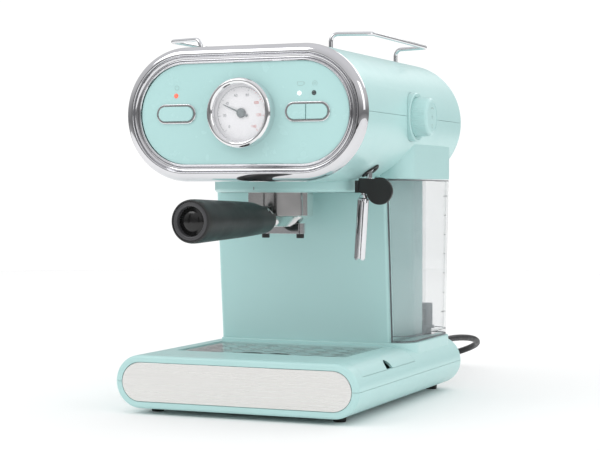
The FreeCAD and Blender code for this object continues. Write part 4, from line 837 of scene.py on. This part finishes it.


# Painted shade: a dark band down the tank's front-left edge, where the gap between column and tank lies in
# shade.
edge_proud = 0.04
gap_shade_corners = [(92.75, tank_front_foot - edge_proud, 60.0), (94.6, tank_front_foot - edge_proud, 60.0),
              (94.6, 0.42 - edge_proud, 219.6), (92.75, 0.42 - edge_proud, 219.6)]
painted_gap_shade = (gap_shade_corners + [(x, y + 0.03, z) for x, y, z in gap_shade_corners],
             [[0, 1, 2, 3], [7, 6, 5, 4], [0, 4, 5, 1], [1, 5, 6, 2], [2, 6, 7, 3], [3, 7, 4, 0]])
tank_painted_edge_shade = mesh_piece("tank_painted_edge_shade", *joined([painted_tank_edge_shade(59.6, 61.0), painted_tank_edge_shade(65.2, 65.9),
                                               painted_tank_edge_shade(219.4, 220.3), painted_gap_shade]))
finish_piece(tank_painted_edge_shade, "tank", (), tank_print_and_edge_shade)
tank_print = mesh_piece("tank_marks", *joined(marks))
finish_piece(tank_print, "tank", (), tank_print_and_edge_shade)


# ---- studio, in metres -----------------------------------------------------
backdrop_white = 1.06


def floor_look():
    """Matt off-white floor."""
    look = Look("studio_floor").set(specular=0.2, roughness=0.6)
    look.colours(look.noise(0.5, 2.0), (0.93, 0.93, 0.93), (0.95, 0.95, 0.95))
    return look.material


floor_radius, floor_z = 2.75, -0.00005
bpy.ops.mesh.primitive_circle_add(vertices=96, radius=floor_radius, fill_type="NGON",
                                  location=(0, 0, floor_z))
floor = bpy.context.active_object
floor.name = "studio_floor"
floor.data.materials.append(floor_look())


def studio_world():
    """White for the camera and for light; for reflections a bright top and foot and a dark waist."""
    world = bpy.data.worlds.new("studio")
    world.use_nodes = True
    scene.world = world
    tree = world.node_tree
    back = tree.nodes["Background"]
    coords = tree.nodes.new("ShaderNodeTexCoord")
    split = tree.nodes.new("ShaderNodeSeparateXYZ")
    tree.links.new(coords.outputs["Generated"], split.inputs["Vector"])
    height = tree.nodes.new("ShaderNodeValToRGB")
    stops = height.color_ramp
    stops.elements[0].position = 0.0
    stops.elements[0].color = (0.80, 0.80, 0.81, 1)
    stops.elements[1].position = 1.0
    stops.elements[1].color = (0.86, 0.86, 0.88, 1)
    for place, value in ((0.44, 0.50), (0.50, 0.22), (0.54, 0.30), (0.64, 0.66)):
        stop = stops.elements.new(place)
        stop.color = (value, value, value * 1.01, 1)
    rise = tree.nodes.new("ShaderNodeMapRange")
    rise.inputs["From Min"].default_value = -1.0
    tree.links.new(split.outputs["Z"], rise.inputs["Value"])
    tree.links.new(rise.outputs["Result"], height.inputs["Fac"])
    rays = tree.nodes.new("ShaderNodeLightPath")
    mix = tree.nodes.new("ShaderNodeMix")
    mix.data_type = "RGBA"
    mix.inputs["A"].default_value = (backdrop_white, backdrop_white, backdrop_white, 1.0)
    tree.links.new(rays.outputs["Is Glossy Ray"], mix.inputs["Factor"])
    tree.links.new(height.outputs["Color"], mix.inputs["B"])
    tree.links.new(mix.outputs["Result"], back.inputs["Color"])
    back.inputs["Strength"].default_value = 1.0


def softbox(name, place, target, size, power):
    """White area light that the camera doesn't see."""
    data = bpy.data.lights.new(name, "AREA")
    data.shape = "RECTANGLE"
    data.size, data.size_y = size
    data.energy = power
    lamp = bpy.data.objects.new(name, data)
    lamp.location = place
    lamp.rotation_mode = "QUATERNION"
    lamp.rotation_quaternion = (Vector(target) - Vector(place)).to_track_quat("-Z", "Y")
    scene.collection.objects.link(lamp)
    lamp.visible_camera = False


def dark_card(name, place, target, size):
    """Black flag that only reflections see, for the dark lines in bright metal."""
    bpy.ops.mesh.primitive_plane_add(size=1.0, location=place)
    card = bpy.context.active_object
    card.name = name
    card.scale = (*size, 1.0)
    card.rotation_mode = "QUATERNION"
    card.rotation_quaternion = (Vector(target) - Vector(place)).to_track_quat("Z", "Y")
    look = Look(name).set(specular=0.0, roughness=1.0)
    look.colours(look.noise(1.0, 1.0), (0.015, 0.015, 0.016), (0.02, 0.02, 0.021))
    card.data.materials.append(look.material)
    card.visible_camera = False
    card.visible_diffuse = False
    card.visible_shadow = False
    card.visible_transmission = False


studio_world()
middle = (0.0, 0.0, 0.2)
softbox("key", (-1.3, -1.7, 1.9), middle, (1.4, 1.0), 11.0)
softbox("fill", (2.2, -0.6, 1.1), middle, (1.0, 1.4), 5.0)
softbox("rim", (0.6, 2.2, 1.6), middle, (1.6, 0.8), 6.0)
dark_card("flag_front", (-1.9, -2.6, 0.55), middle, (0.35, 1.6))
dark_card("flag_low", (0.2, -2.4, 0.05), middle, (1.2, 0.10))
dark_card("flag_mid", (0.18, -1.95, 0.30), middle, (0.34, 1.1))

scene.view_settings.view_transform = "Standard"
scene.view_settings.look = "None"
